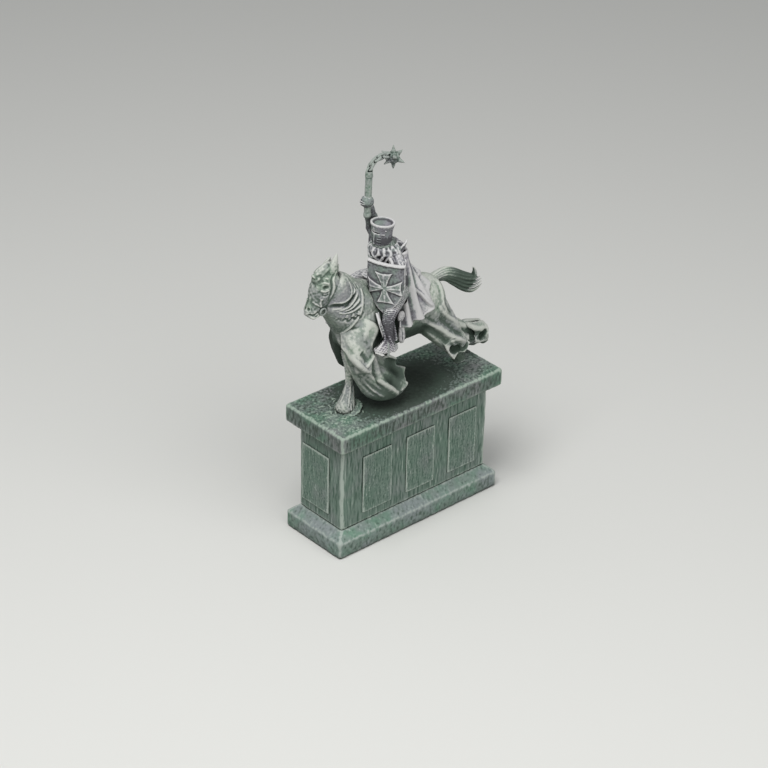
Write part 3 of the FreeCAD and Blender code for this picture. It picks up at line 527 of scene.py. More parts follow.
# Painted shade on the horse where it lies in shadow, or with a negative depth painted light: centre, radius,
# depth, stretch.
HORSE_PAINTED_SHADE = [
    ((21, -4, 16), 10, 2.6, (1, 0.7, 1.5)),
    ((1, 8, 18), 8, 0.9, (1.5, 1, 0.8)),
    ((8, 7, 27), 6, 1.4),
    ((9, 5, 8), 6, 1.0),
    ((11, 8, 10), 3.5, 0.7),
    ((-15, 4, 12), 4, 0.8),
    ((14, 9.5, 3), 9, 0.8, (1.2, 1, 0.7)),
    ((15, 9, 12), 7, 0.35, (1.1, 1, 1)),
    ((5, 6, 10), 7, 0.7),
    ((-17, 9.2, 10), 4, 0.2),
    ((-30, 0, 7), 5, 0.1),
    ((1, 6, 20), 6, 1.0, (1.5, 1, 0.7)),
    ((-8, 5, 31), 8, -0.2),
    ((-5, 0, 20), 8, 1.0, (1.5, 1, 0.6)),
]
def skirts():
    """Wax added to the skirts: sheets at the breast, the scoop and the hems, and a filling inside."""
    breast = [
        [(22.6, 2, 26.6), (20.6, 5, 28), (17.4, 6, 27.4), (14.2, 6.4, 25)],
        [(23.2, 3.5, 24), (22.8, 7, 25), (19.7, 8.2, 23.8), (15.6, 8, 21.4)],
        [(22, 4.2, 20.5), (23, 8.2, 22.2), (20.7, 8.9, 20.8), (17.3, 8.9, 18.8)],
        [(21, 5, 17), (22.4, 8.6, 19), (20.8, 9.5, 17.4), (18.1, 9.2, 14.8)],
    ]
    scoop_wall = [
        [(13.4, 4.5, 18), (9.2, 3.4, 14.8), (6.1, 3.4, 12), (3.4, 4, 10), (0.6, 4.6, 8.6)],
        [(13.8, 5.5, 16.4), (11, 6, 13.4), (8.2, 6, 10.9), (5.4, 5.4, 8.9), (1.8, 5.4, 7.3)],
        [(14.4, 7.8, 14.8), (11.6, 7.9, 12.5), (9, 8, 10.2), (6.4, 7.9, 7.7), (3.6, 8, 5.8)],
        [(14.4, 8.4, 12.6), (12, 8.3, 10.1), (9.6, 8.3, 7.6), (7.4, 8.5, 5.4), (5.6, 9, 4.6)],
    ]
    near_hem = [
        [(-10.5, 8.4, 13.5), (-13.5, 9, 14.5), (-16.5, 8.6, 14), (-18, 7.4, 13)],
        [(-11.8, 9.2, 10.4), (-14.2, 8.2, 11.6), (-16.8, 9.3, 11.2), (-19, 8.2, 12)],
        [(-13.4, 9.7, 8), (-15.2, 9.2, 9.2), (-17.6, 9.8, 9.2), (-20.2, 9, 10.9)],
    ]
    trailing_hem = [
        [(-27, 0, 11), (-27.4, 2.2, 9.6), (-28, 2.7, 7.4), (-28.5, 2.2, 4.6)],
        [(-30.4, 0.4, 10.2), (-30.6, 2.7, 9), (-31, 1.9, 7), (-31, 2.8, 4.4)],
        [(-33.6, 0, 9.4), (-33.6, 2.6, 8.2), (-33, 3.2, 6.2), (-33.8, 2.6, 3.8)],
    ]
    far_hem = [
        [(-28.5, -2.4, 4.6), (-28, -3, 7.4), (-27.4, -2.6, 9.6), (-27, -0.4, 11)],
        [(-31, -3, 4.4), (-31, -2.2, 7), (-30.6, -3.1, 9), (-30.4, -0.6, 10.4)],
        [(-33.4, -2.6, 3.8), (-33, -3.4, 6.2), (-33.2, -2.8, 8.4), (-33.4, -0.4, 9.6)],
    ]
    filling = [
        strand([(15, 4, 28), (18, 4.6, 24.6), (19, 5.4, 20), (18, 6, 15)], [4.2, 4.2, 3.6, 2.6]),
        strand([(16, 7, 20), (15.2, 7.4, 16), (14, 8.2, 12), (12, 8.7, 8.4)], [1.3, 1.3, 1.2, 1.1]),
        strand([(14, 8.2, 12), (12, 8.6, 8.6), (9.6, 8.7, 6), (7.2, 8.8, 4.4)], [1.2, 1.2, 1.2, 0.9]),
    ]
    hems = [cloth(rows) for rows in (scoop_wall, near_hem, trailing_hem, far_hem)]
    return filling + [cloth(breast, 1.3), *hems]


def horse_body():
    """The barrel, rump and all the cloth in one skin, then parted where the two castings are glued."""
    nodes = ["horse_half", "front_drape", "hind_drape"]
    left = [node + "_left" for node in nodes]
    right = [node + "_right" for node in nodes]
    grit = 0.25
    skin = Skin(recast(joined("horse_body", [copied("castings", *left, *right), *skirts()]), grit))
    skin.soften(5)
    for side in (1, -1):
        skin.bump((16.4, 6.6 * side, 27.8), 6.5, 0.6)
        skin.bump((-8, 6 * side, 28), 6, 0.35)
    skin.out = skin.normals()
    for width, height, route in LEFT_FOLDS + RIGHT_FOLDS:
        skin.line(route, width, height, SIDE, crisp=0.5, ends=0.2)
    skin.out = skin.normals()
    for width, depth, route in HEM_HOLLOWS:
        skin.line(route, width, depth, SIDE, 0.3, 0.3)
        # painted shade in the hollow
        skin.wash(route[1], 2.6, 0.8)
    chest = [(22.8, side * y, z) for side in (1, -1) for y, z in ((1.2, 25), (3.0, 21))]
    for x, y, z in chest:
        fold = [(x, y, z), (x + 0.4, 1.25 * y, z - 4), (x - 0.6, 1.5 * y, z - 9)]
        skin.line(fold, 1.2, 0.6, FRONT, 0.5, 0.3)
    # painted shade, and painted light where the depth is negative
    for patch in HORSE_PAINTED_SHADE:
        skin.wash(*patch)
    skin.rough(0.06, (0.7, 0.7, 0.7), 3)
    skin.rough(0.1, (2.4, 2.4, 3.0), 4)
    skin.finish(0.5, 2.0, grit)
    part_down_the_middle(skin.piece, left, right)


def part_down_the_middle(piece, left_nodes, right_nodes):
    for side, name, nodes in ((1, "horse_cast_left", left_nodes), (-1, "horse_cast_right", right_nodes)):
        shell = bmesh.new()
        shell.from_mesh(piece.data)
        everything = shell.verts[:] + shell.edges[:] + shell.faces[:]
        plane = {"plane_co": (0, 0, 0), "plane_no": (0, -side, 0), "clear_outer": True}
        cut = bmesh.ops.bisect_plane(shell, geom=everything, dist=0.001 * MM, **plane)["geom_cut"]
        rim = [edge for edge in cut if isinstance(edge, bmesh.types.BMEdge)]
        for face in bmesh.ops.holes_fill(shell, edges=rim, sides=0)["faces"]:
            face.smooth = False
        for edge in rim:
            edge.smooth = False
        bmesh.ops.triangulate(shell, faces=[face for face in shell.faces if len(face.verts) > 4])
        placed(new_piece(name, shell), "verdigris_paint_on_resin", *nodes)
    bpy.data.objects.remove(piece)


def poll():
    """Cloth on the crown of the hood, tufts of forelock between the ears, and thickened ear tips."""
    wax = [strand([(31, 0, 45.4), (28.4, 0, 46.6), (25.6, -0.4, 47), (23, 0, 46)], [0.9, 1.5, 1.9, 1.8])]
    for i, y in enumerate((-1.5, -0.7, 0.1, 0.9)):
        rise = 47.7 + 0.3 * (i % 2)
        tuft = [(23.8, 0.7 * y, 46.6), (25.0, 1.1 * y, rise), (26.9, 1.2 * y, 47.3), (29.2, 1.2 * y, 45.9)]
        wax.append(strand(tuft, [0.5, 0.7, 0.62, 0.4]))
    for x, y, lean in ((23.5, 1.0, 0.9), (24.2, 1.3, 1.1), (24.9, 0.8, 1.4)):
        wax.append(strand([(x, y, 46), (x + 0.3, y, 47.8), (x + lean, y - 0.2, 49.2)], [0.7, 0.6, 0.2]))
    return wax


def hood_side(skin, side):
    """One side of the head: the padded cheek, the eye, the bridle and mouth, and the hood's creases."""
    def worked(route, width, height, crisp=0.0, ends=0.2):
        skin.line(on_side(route, side), width, height, SIDE, crisp, ends)

    cheek_rim = [
        (27.8, 3.7, 38.8), (26.7, 3.6, 42.4), (26.4, 3.2, 45), (23.9, 3, 46.6), (22.1, 3.3, 45.2),
        (20.8, 3.6, 42.1), (21, 3.8, 38.9), (23.5, 4, 37.4), (26.7, 3.9, 37.7),
    ]
    jaw = [(27.8, 3.3, 36.2), (26.2, 3.8, 36.6), (23.6, 4.2, 36.4), (21.2, 4.3, 37.2), (19.6, 4, 39)]
    skin.bump((24, side * 3.6, 42), 5, 0.7, (0.8, 1, 1))
    worked(cheek_rim, 0.6, 0.28, 0.3, 0.1)
    worked([(x + 0.6, y, z) for x, y, z in cheek_rim[:4]], 0.55, -0.35, 0.4)
    worked(jaw, 1.1, -1.1, 0.4)
    # eye, lids and brow plates
    worked([(30.4, 2.5, 43.9), (29.3, 2.8, 44.5), (27.8, 3, 43.9)], 0.4, 0.35, 0.4)
    worked([(30.6, 2.4, 45.2), (29.2, 2.7, 45.7), (27.6, 3, 45.2)], 0.45, 0.35, 0.4)
    skin.bump((28.9, side * 2.8, 43.1), 0.95, -0.7, (1.3, 1, 0.8))
    skin.bump((28.9, side * 2.7, 43), 0.4, 0.4)
    worked([(30.4, 2.5, 42.5), (29.2, 2.8, 42), (27.9, 3, 42.3)], 0.4, 0.3, 0.4)
    worked([(30.2, 2.6, 41.2), (29.2, 2.8, 40.8), (28.2, 3, 41.2)], 0.4, -0.35, 0.4)
    # bridle, nostril and mouth
    worked([(30.2, 2.6, 40), (30.4, 2.5, 38.8), (30.2, 2.4, 37.4)], 0.4, 0.3, 0.6, 0.05)
    worked([(33.6, 0.6, 39.8), (32, 1.8, 38.9), (30.3, 2.4, 37.5)], 0.4, 0.28, 0.6, 0.05)
    skin.bump((33.5, side * 0.8, 37.1), 0.75, -0.8)
    worked([(32.7, 0.9, 38.1), (33.7, 0.9, 38), (34.1, 0.8, 37.1), (33.6, 0.8, 36.3)], 0.4, 0.35)
    worked([(33.6, 0.5, 35.6), (32.4, 1.4, 35.4), (30.8, 2, 36.2)], 0.5, -0.8, 0.6)
    worked([(33.2, 0.6, 34.8), (32, 1.4, 34.5), (30.6, 1.8, 34.9), (29.2, 2.4, 35.9)], 0.5, 0.35)
    # the hood bunches in many small creases from the jaw towards the withers
    for i in range(7):
        t = i / 6
        start = (26.8 - 1.4 * t, 3.4 + 0.6 * t, 35.6 - 1.2 * t)
        middle = (23 - 1.2 * t, 4.7 + 0.5 * t, 36.2 - 2.2 * t)
        end = (18.6 - 1.0 * t, 3.4 + 1.3 * t, 40.4 - 5.2 * t)
        worked([start, middle, end], 0.55, 0.36 * (-1) ** i, 0.4)
    for i in range(4):
        top, middle = (20.8 - i, 3.2, 44 - 0.6 * i), (19.4 - 0.9 * i, 3.6, 41.6 - 0.4 * i)
        worked([top, middle, (18.6 - 0.9 * i, 3.8, 39)], 0.5, -0.3, 0.4)
    ear = on_side([(22.6, 2.2, 46.4), (22.9, 2.4, 47.8), (22.7, 2.3, 49.4)], side)
    skin.line(ear, 0.5, -0.4, None, 0.5)


def horse_head():
    """The head in its cloth hood, with a dagged collar that lies on the chest."""
    grit = 0.16
    skin = Skin(recast(joined("hooded_head", [copied("castings", "horse_head"), *poll()]), grit))
    skin.soften(4)
    # the far ear is laid a little lower than the near one
    ear_root = 46
    far_ear = (skin.points[:, 1] < -0.6) & (skin.points[:, 2] > ear_root)
    skin.points[:, 2] -= 0.4 * np.where(far_ear, skin.points[:, 2] - ear_root, 0)
    skin.out = skin.normals()
    for side in (1, -1):
        hood_side(skin, side)
    skin.out = skin.normals()
    collar(skin)
    # painted shade on the brow, the face, round the mouth, under the throat and on the cheek
    for patch in (
        ((31.4, 0, 46), 2.2, 0.5),
        ((30, 0, 43), 9, 0.35),
        ((33, 0, 36.6), 3.4, 0.55),
        ((22, 0, 29), 5, 0.5),
        ((24, 4, 42), 3.2, 0.15),
    ):
        skin.wash(*patch)
    face = eased((skin.points[:, 0] - 27) / 3)
    skin.raise_by(0.13 * face * mottle(skin.points, 0.7, 12))
    skin.rough(0.06, 0.6, 11)
    skin.finish(0.4, 1.5, grit)
    placed(skin.piece, "verdigris_paint_on_resin", "horse_head")


def collar(skin):
    """The hood's collar: a seam where it ends, and above it a ruffled layer cut into pointed dags."""
    hem = [
        (16.3, 3.3, 38.6), (16.9, 4.9, 36), (17.8, 5.6, 33.5), (19.2, 5.6, 30.9), (20.9, 4.7, 28.6),
        (22.5, 2.8, 26.1),
    ]
    top = [(25.8, 4, 33.8), (24.1, 4.8, 33.4), (21.7, 5.3, 33.4), (19.3, 5.3, 33.7), (17.5, 4.8, 34.2)]
    teeth = 5
    drop = np.array([0.25, 0, -1.5])
    for side in (1, -1):
        seam = [(x + 0.5, y, z + 0.4) for x, y, z in on_side(hem, side)]
        skin.line(seam, 0.7, 0.35, SIDE, 0.3, 0.05)
        row = smooth_line(on_side(top, side), 0.1)
        for i in range(teeth):
            start, middle, end = (row[int((i + t) / teeth * (len(row) - 1))] for t in (0.0, 0.45, 0.95))
            tip = middle + drop * (1 if i % 2 else 1.25)
            skin.line([start, (start + tip) / 2 + (0.15, 0, -0.3), tip], 0.38, 0.34, SIDE, 0.6, 0.05)
            skin.line([tip, (end + tip) / 2 + (-0.15, 0, -0.3), end], 0.38, 0.34, SIDE, 0.6, 0.05)
            under = [start + drop * 0.75, tip + drop * 0.35, end + drop * 0.75]
            skin.line(under, 0.7, -0.45, SIDE, 0.3, 0.1)


def horse_tail():
    """A thick lock of hair streaming behind, combed into strands with ragged tips and one upward curl."""
    spine = [
        (-12.2, 0, 30.4), (-16.4, 0, 31.3), (-20.8, 0, 28.6), (-25.2, 0, 25.2), (-29.0, 0, 23.4),
        (-32.0, 0, 23.6),
    ]
    half_wide = [1.1, 1.4, 1.6, 1.7, 1.6, 1.2]
    half_deep = [1.2, 1.6, 2.6, 3.1, 3.0, 2.2]
    draw = np.random.default_rng(8)
    strands = [strand(spine[:-1], [0.6, 0.8, 0.9, 0.9, 0.5])]
    count = 14
    for i in range(count):
        angle = 2 * math.pi * (i + 0.5) / count
        share = draw.uniform(0.8, 1.0)
        short = draw.uniform(0, 0.8)
        route = []
        for k, (centre, wide, deep) in enumerate(zip(spine, half_wide, half_deep)):
            twist = angle + 0.25 * k
            x, y, z = centre
            pull = short * 1.6 if k == len(spine) - 1 else 0
            side, up = wide * share * math.cos(twist), deep * share * math.sin(twist)
            route.append((x + pull, y + side, z + up - 0.25 * pull))
        strands.append(strand(route, [0.42, 0.46, 0.5, 0.5, 0.42, 0.12]))
    for y in (-0.7, 0.1, 0.8):
        curl = [
            (-24.5, y, 25.6), (-27.4, y, 24.4), (-29.4, 0.7 * y, 25.6), (-29.8, 0.4 * y, 27.4),
            (-29.0, 0.2 * y, 28.8),
        ]
        strands.append(strand(curl, [0.6, 0.7, 0.6, 0.42, 0.12]))
    grit = 0.13
    skin = Skin(recast(joined("streaming_tail", strands), grit))
    skin.soften(1)
    skin.rough(0.04, (1.0, 0.3, 0.3), 21)
    # painted shade in the depth of the tail
    skin.wash((-23, 0, 26), 9, 1.4, (1.3, 1, 0.9))
    skin.finish(0.4, 1.4, grit)
    placed(skin.piece, "verdigris_paint_on_resin", "horse_tail")


def foreleg(name, node, hairs, hoof, bands):
    """A foreleg with long feathering over its hoof."""
    grit = 0.13
    locks = [strand(route, [0.3, 0.42, 0.4, 0.14]) for route in hairs]
    skin = Skin(recast(joined(name, [copied("castings", node), *locks]), grit))
    skin.soften(1)
    for centre, radius, height in bands:
        skin.bump(centre, radius, height)
    skin.line(hoof, 0.4, -0.3, None, 0.5, 0)
    skin.rough(0.08, 0.5, 31)
    skin.finish(0.4, 1.2, grit)
    placed(skin.piece, "verdigris_paint_on_resin", node)


def forelegs():
    draw = np.random.default_rng(5)
    heights = [0, 1.8, 4.2, 7, 11.5]
    leg_x, leg_y = [19.6, 19.5, 18.5, 17.8, 17], [0.7, 0.6, 0]  # the leg's middle; y for every other height
    planted = []
    count = 16
    for i in range(count):
        angle = 2 * math.pi * i / count
        out = np.array([math.cos(angle), math.sin(angle)])
        top, foot = draw.uniform(6.5, 10), draw.uniform(0.2, 0.9)
        route = []
        tip_reach = 2.7 + draw.uniform(0, 0.5)
        for z, reach in ((top, 0.9), (0.55 * top, 1.35), (0.28 * top, 2.1), (foot, tip_reach)):
            x, y = np.interp(z, heights, leg_x), np.interp(z, heights[::2], leg_y)
            route.append((x + reach * out[0], y + 0.9 * reach * out[1], z))
        planted.append(route)
    coronet = ring_line((19.5, 0.7, 1.6), 1.9, 10, TOP)
    foreleg("foreleg_on_the_ground", "foreleg_planted", planted, coronet, [((17.2, 1, 11.6), 1.5, 0.3)])
    raised = []
    for z in (9.0, 9.8, 10.6):
        raised.append([(13, 6.2, z + 1), (11.4, 6.5, z + 0.4), (9.6, 6.6, z - 0.4), (8.2, 6.5, z - 1.2)])
    hoof_rim = [(9.6, 4.4, 9), (9.6, 5.8, 10.6), (9.4, 7, 9)]
    foreleg("foreleg_lifted", "foreleg_raised", raised, hoof_rim, [((16.4, 4.9, 13.2), 1.6, 0.3)])


def hind_hooves():
    for side in ("left", "right"):
        node = "hind_hoof_" + side
        low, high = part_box(node)
        middle = [(a + b) / 2 / MM for a, b in zip(low, high)]
        middle[2] -= GROUND / MM
        skin = Skin(recast(copied("shod_hoof_" + side, node), 0.12))
        skin.soften(3)
        skin.line(ring_line(middle, 1.5, 10, TOP), 0.4, -0.3, TOP, 0.5, 0)
        skin.rough(0.08, 0.5, 33)
        # painted shade over the hoof under the hem
        skin.wash(middle, 6, 1.4)
        skin.finish(0.4, 1.0, 0.12)
        placed(skin.piece, "verdigris_paint_on_resin", node)


# ---------------------------------------------------------------- rider

def cloak():
    """The cloak fans out from the collar in deep folds that reach its thick, turned hem."""
    grit = 0.2
    # the wall is thickened where it passes close behind the saddle
    backing = []
    levels = ((38.2, -3.0, -1.9), (37.5, -3.7, -2.4), (36.8, -4.4, -3.0), (36.1, -5.0, -3.6))
    for z, back, flank in levels:
        across = [(flank, -4, z), (back + 0.3, -2, z), (back, 0, z), (back + 0.3, 2, z), (flank, 4, z)]
        backing.append(strand(across, [0.6] * 5))
    skin = Skin(recast(joined("cast_cloak", [copied("castings", "cloak"), *backing]), grit))
    skin.soften(4)
    fan_middle, folds = 3.4, 15.5
    collar_height, hem_behind, hem_beside = 45.8, 33.9, 26.2
    x, y, z = skin.points.T
    around = np.arctan2(y, fan_middle - x)
    flank = 1 - np.cos(around) ** 4
    hem_height = hem_behind + (hem_beside - hem_behind) * flank
    fall = ((collar_height - z) / (collar_height - hem_height)).clip(0, 1.1)
    wave = around * folds + 1.2 * np.sin(2.3 * around + 0.8) + 0.5 * np.sin(5 * fall + around)
    fold = (0.5 + 0.5 * np.cos(wave)) ** 1.4
    push = np.stack([-np.cos(around), np.sin(around), np.zeros(len(x))], 1)
    skin.points += push * ((1.25 * fold - 0.35) * eased(1.6 * fall))[:, None]
    skin.out = skin.normals()
    skin.line([(2.2, 6, 36.2), (-1.5, 7, 32.7), (-3.8, 8.4, 29.6), (-5.9, 9, 27.5)], 0.8, 0.7, SIDE, 0.5)
    hem = [(-5.9, 9, 27.5), (-2.8, 9.6, 26.8), (0.5, 10, 26.3), (4.6, 10, 26.2)]
    skin.line(hem, 0.6, 0.3, SIDE, 0.3, 0.1)
    skin.rough(0.05, (1.0, 1.0, 1.0), 41)
    skin.rough(0.1, (2.0, 2.0, 5.0), 42)
    # painted light on the near side of the cloak
    skin.wash((-3, 9, 31), 10, -0.9)
    skin.finish(0.5, 1.8, grit)
    placed(skin.piece, "verdigris_paint_on_white_metal", "cloak")


def mantling():
    """Ribbons of cloth tied round the neck: they curl over the shoulders and fill the cloak's collar."""
    draw = np.random.default_rng(14)
    ribbons = [strand(ring_line((4.7, 0, 46.1), 3.2, 12, TOP), [1.9] * 13)]
    count = 22
    for i in range(count):
        angle = 2 * math.pi * (i + draw.uniform(-0.3, 0.3)) / count
        turn = draw.choice((-1, 1)) * draw.uniform(0.15, 0.5)
        low = draw.uniform(42.4, 44.6)
        route = []
        knots = ((2.8, 48.0, 0), (4.1, 47.5, 0.5), (4.9, 46.4, 1), (5.0, 45.2, 0.4), (4.8, low, -0.8))
        for reach, z, bend in knots:
            a = angle + turn * bend
            route.append((4.7 + reach * math.cos(a), 0.98 * reach * math.sin(a), z))
        ribbons.append(strand(route, [0.4, 0.5, draw.uniform(0.35, 0.65), 0.5, 0.4]))
    # a stiff corner of the knot stands up behind the near shoulder
    ribbons.append(strand([(2.4, 3.4, 46.4), (1.7, 4.0, 47.6), (1.0, 4.4, 49.2)], [0.8, 0.6, 0.2]))
    ribbons.append(strand([(4.4, 4.0, 46.8), (2.8, 4.4, 47.2), (1.3, 4.5, 48.8)], [0.5, 0.5, 0.2]))
    ribbons.append(strand([(4.9, -2.5, 44.6), (4.9, 0, 45.2), (4.9, 2.5, 44.6)], [2.2, 3.2, 2.2]))
    return ribbons


def torso():
    """The surcoat's chest and shoulders under the curled mantling."""
    grit = 0.13
    skin = Skin(recast(joined("rider_surcoat", [copied("castings", "rider_torso"), *mantling()]), grit))
    skin.soften(5)
    folds = [
        [(7.8, 0.2, 43.4), (7.4, 2.4, 42.8), (5.6, 4.1, 42.2), (3.2, 4.2, 42.6)],
        [(7.6, 0.6, 41.2), (6.8, 2.8, 40.2), (5.0, 4.1, 39.6)],
    ]
    for side in (1, -1):
        for fold in folds:
            fold = on_side(fold, side)
            skin.line(fold, 0.7, 0.5, None, 0.5, 0.15)
            skin.line([(x + 0.1, y, z - 0.8) for x, y, z in fold], 0.6, -0.45, None, 0.5, 0.15)
    # painted shade round the neck under the mantling
    skin.wash((4.7, 0, 45.5), 6, 0.7)
    skin.rough(0.12, 0.6, 51)
    skin.finish(0.4, 1.3, grit)
    placed(skin.piece, "verdigris_paint_on_white_metal", "rider_torso")


def mail(skin, ring_size, height):
    """Rows of small raised rings, each row shifted by half a ring."""
    x, y, z = skin.points.T
    across = (x + 1.4 * y) / ring_size * math.pi
    rows = z / ring_size * math.pi * 1.2
    skin.raise_by(height * np.sin(across) * np.sin(rows) + 0.5 * height * np.sin(2 * rows))


def simple_cast(name, node, slot, grit, work=None, rough=0.05, trim=()):
    """A small casting: its CAD shape and its trim as a soft skin, worked over by its own function."""
    skin = Skin(recast(joined(name, [copied("castings", node), *trim]), grit))
    skin.soften(2)
    if work:
        work(skin)
        skin.out = skin.normals()
    skin.rough(rough, 0.5, len(name))
    skin.finish(0.35, 1.1, grit)
    placed(skin.piece, slot, node)


def helm_work(skin):
    """A riveted cross bar over the face, breathing slits, and a dished crown inside a thick rim."""
    # painted shade over the lower half of the helm
    skin.wash((7, 0, 48.5), 5, 1.3, (1.2, 1.2, 0.9))
    skin.line([(9.6, 0, 49), (10.0, 0, 51), (10.3, 0, 53.6)], 0.5, 0.3, FRONT, 0.6, 0)
    for side in (1, -1):
        bar = [(10.1, 0, 52.2), (9.4, 1.6 * side, 52.1), (7.8, 2.8 * side, 52)]
        skin.line(bar, 0.45, 0.25, None, 0.6, 0.05)
        for i in range(3):
            z = 49.4 + 0.75 * i
            skin.line([(9.3, 0.9 * side, z), (8.5, 2.0 * side, z)], 0.25, -0.3, None, 0.6, 0.1)
        for x, y in ((7.6, 2.9), (5.6, 2.9), (4.2, 1.9)):
            skin.bump((x, y * side, 53.2), 0.32, 0.25)
    lower_rim = [
        (9, 2.2, 49.2), (7, 3, 49.1), (5, 2.4, 49), (3.9, 0, 49), (5, -2.4, 49), (7, -3, 49.1),
        (9, -2.2, 49.2),
    ]
    skin.line(lower_rim, 0.4, 0.22, None)


def gauntlet_work(skin):
    """Four fingers closed round the haft, and a flared cuff."""
    # painted shade over the fist
    skin.wash((8.8, -4.8, 59.5), 7, 0.8)
    for z in (58.4, 59.1, 59.8, 60.5):
        skin.line([(9.4, -3.2, z), (9.8, -4.8, z + 0.1), (8.8, -6.4, z)], 0.4, 0.3, None, 0.4, 0.2)
        gap = [(9.4, -3.2, z - 0.36), (9.8, -4.8, z - 0.26), (8.8, -6.4, z - 0.36)]
        skin.line(gap, 0.25, -0.3, None, 0.5, 0.2)


def arm_work(skin):
    """Bunched sleeve folds over mail."""
    # painted shade over the raised arm
    skin.wash((5, -5, 51), 12, 0.6)
    for i in range(7):
        t = i / 6
        centre = (4.4 + 2.0 * t, -4.4 - 1.5 * math.sin(2.2 * t), 45.5 + 12 * t)
        skin.line(ring_line(centre, 2.2, 8, TOP, 0.9), 0.5, 0.28 * (-1) ** i, TOP, 0.4, 0)


def left_arm_work(skin):
    """Surcoat folds that run over the shoulder and down behind the shield."""
    for i in range(6):
        x = 3.6 + 1.3 * i
        fold = [(0.5 * x + 2.6, 4.6, 45), (x, 7.4, 44), (x + 0.6, 9, 42), (x + 0.3, 9.6, 39.6)]
        skin.line(fold, 0.6, 0.5 * (-1) ** i, None, 0.4, 0.15)


def shoulder_folds():
    """Ridges of gathered cloth over the near shoulder."""
    folds = []
    for x, lean in ((4.4, 0.6), (5.6, 0.5), (6.9, 0.5), (8.2, 0.4)):
        route = [(0.6 * x + 2, 4.2, 45.4), (x, 6.0, 44.3), (x + lean, 7.6, 42.9), (x + lean, 8.4, 41)]
        folds.append(strand(route, [0.6, 0.75, 0.7, 0.4]))
    return folds


def leg_work(side):
    """Mail from the hip to the ankle, a kneecap, and a stippled flap over the foot."""
    def work(skin):
        skin.bump((11.9, 9.6 * side, 30), 1.5, 0.4)
        mail(skin, 0.5, 0.07)
        # painted shade over the upper leg, and painted light on the flap over the foot
        skin.wash((11.4, 9 * side, 27.5), 7, 1.2)
        skin.wash((15, 10.5 * side, 21.8), 3.2, -0.5, (1.4, 1, 0.8))
        for i in range(4):
            crease = [(10 + 0.2 * i, 8 * side, 28.4 - 1.5 * i), (12.8, 9.8 * side, 28 - 1.5 * i)]
            skin.line(crease, 0.35, 0.15, SIDE, 0.4)
    return work


def leg_trim(side):
    """The long strap over the shin, a second one behind it, and the flared flap over the foot."""
    straps = [
        (
            [(13.4, 9.2, 30.4), (12.9, 10.3, 26.8), (11.8, 10.9, 23), (10.6, 10.8, 20.2)],
            [0.4, 0.42, 0.46, 0.5],
        ),
        ([(10.6, 9.6, 29.8), (10.3, 10.4, 26.4), (9.9, 10.6, 23.4)], [0.45, 0.4, 0.45]),
        ([(14.6, 9.4, 29.4), (13.2, 10.3, 25.6), (13.9, 10.5, 23.2)], [0.3, 0.35, 0.3]),
    ]
    flap = [
        [(17.6, 10.3, 22.4), (14.6, 10.8, 21.0), (10.6, 10.8, 20.2)],
        [(15, 10.2, 24), (13.2, 10.8, 22.8), (11, 10.8, 21.6)],
        [(13, 10, 25.2), (12.2, 10.5, 24.2), (11.3, 10.6, 23.2)],
    ]
    rods = [strand(on_side(route, side), radii) for route, radii in straps]
    return rods + [cloth([on_side(row, side) for row in flap], 0.8)]


def shield():
    """A bent shield with a rolled rim, a plain flared cross in relief and a hammered field."""
    grit = 0.12
    skin = Skin(recast(copied("relief_shield", "shield"), grit))
    skin.soften(2)
    low, high = (np.array(corner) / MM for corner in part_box("shield"))
    bend_radius = 16
    turn = math.radians(26)  # the shield's face looks this far to the left of forwards
    face = np.array([math.cos(turn), math.sin(turn), 0])
    across = np.array([-math.sin(turn), math.cos(turn), 0])
    middle = (low + high) / 2 - (0, 0, GROUND / MM)
    height = high[2] - low[2]
    offset = skin.points - middle
    u = bend_radius * np.arctan2(offset @ across, bend_radius + offset @ face)
    v = offset[:, 2]
    outer = (skin.out @ face > 0.3) * 1.0
    # the cross: four arms that widen from a narrow middle to slightly hollow ends
    tilt, cross_height = math.radians(4), 0.4
    cu = u * math.cos(tilt) + (v - cross_height) * math.sin(tilt)
    cv = -u * math.sin(tilt) + (v - cross_height) * math.cos(tilt)
    inside = np.full(len(u), -9.0)
    for along, aside in ((cu, cv), (cv, cu)):
        reach = np.abs(along)
        half = 0.55 + 1.75 * (reach / 4.6) ** 1.5
        end = 4.7 - 0.35 * (1 - (np.abs(aside) / 2.3).clip(0, 1) ** 2)
        inside = np.maximum(inside, np.minimum(half - np.abs(aside), end - reach))
    skin.points += face * (outer * 0.36 * eased(inside / 0.22 + 0.5))[:, None]
    ridge = np.minimum(np.abs(cu), np.abs(cv))
    skin.points += face * (outer * 0.12 * (inside > 0) * (1 - ridge / 0.5).clip(0, 1))[:, None]
    # rims: thick along the top, thin down both curved sides
    top = height / 2
    half_width = 5.5 * np.sqrt((1 - ((-v - 0.1 * height) / (0.62 * height)).clip(0, 1) ** 2).clip(0.0001, 1))
    side_gap = half_width - np.abs(u)
    rim = np.maximum(eased((0.55 - side_gap) / 0.25), eased((v - top + 0.75) / 0.25))
    skin.points += face * (outer * 0.3 * rim)[:, None]
    skin.out = skin.normals()
    knot = middle + across * -3.6 + face * -0.1 + (0, 0, top - 2.0)
    for i in range(3):
        angle = 2.1 * i
        skin.bump(knot + across * 0.6 * math.cos(angle) + (0, 0, 0.6 * math.sin(angle)), 0.55, 0.4)
    skin.rough(0.05, 0.6, 61)
    skin.finish(0.35, 1.2, grit)
    placed(skin.piece, "verdigris_paint_on_white_metal", "shield")


def scabbard_work(skin):
    for i in range(6):
        skin.bump((7.4, 10.0, 21.4 + 1.2 * i), 0.32, 0.3)
    skin.line([(6.6, 10, 20.8), (6.8, 10, 24.6), (7.1, 10, 28.4)], 0.3, -0.25, SIDE, 0.5, 0)


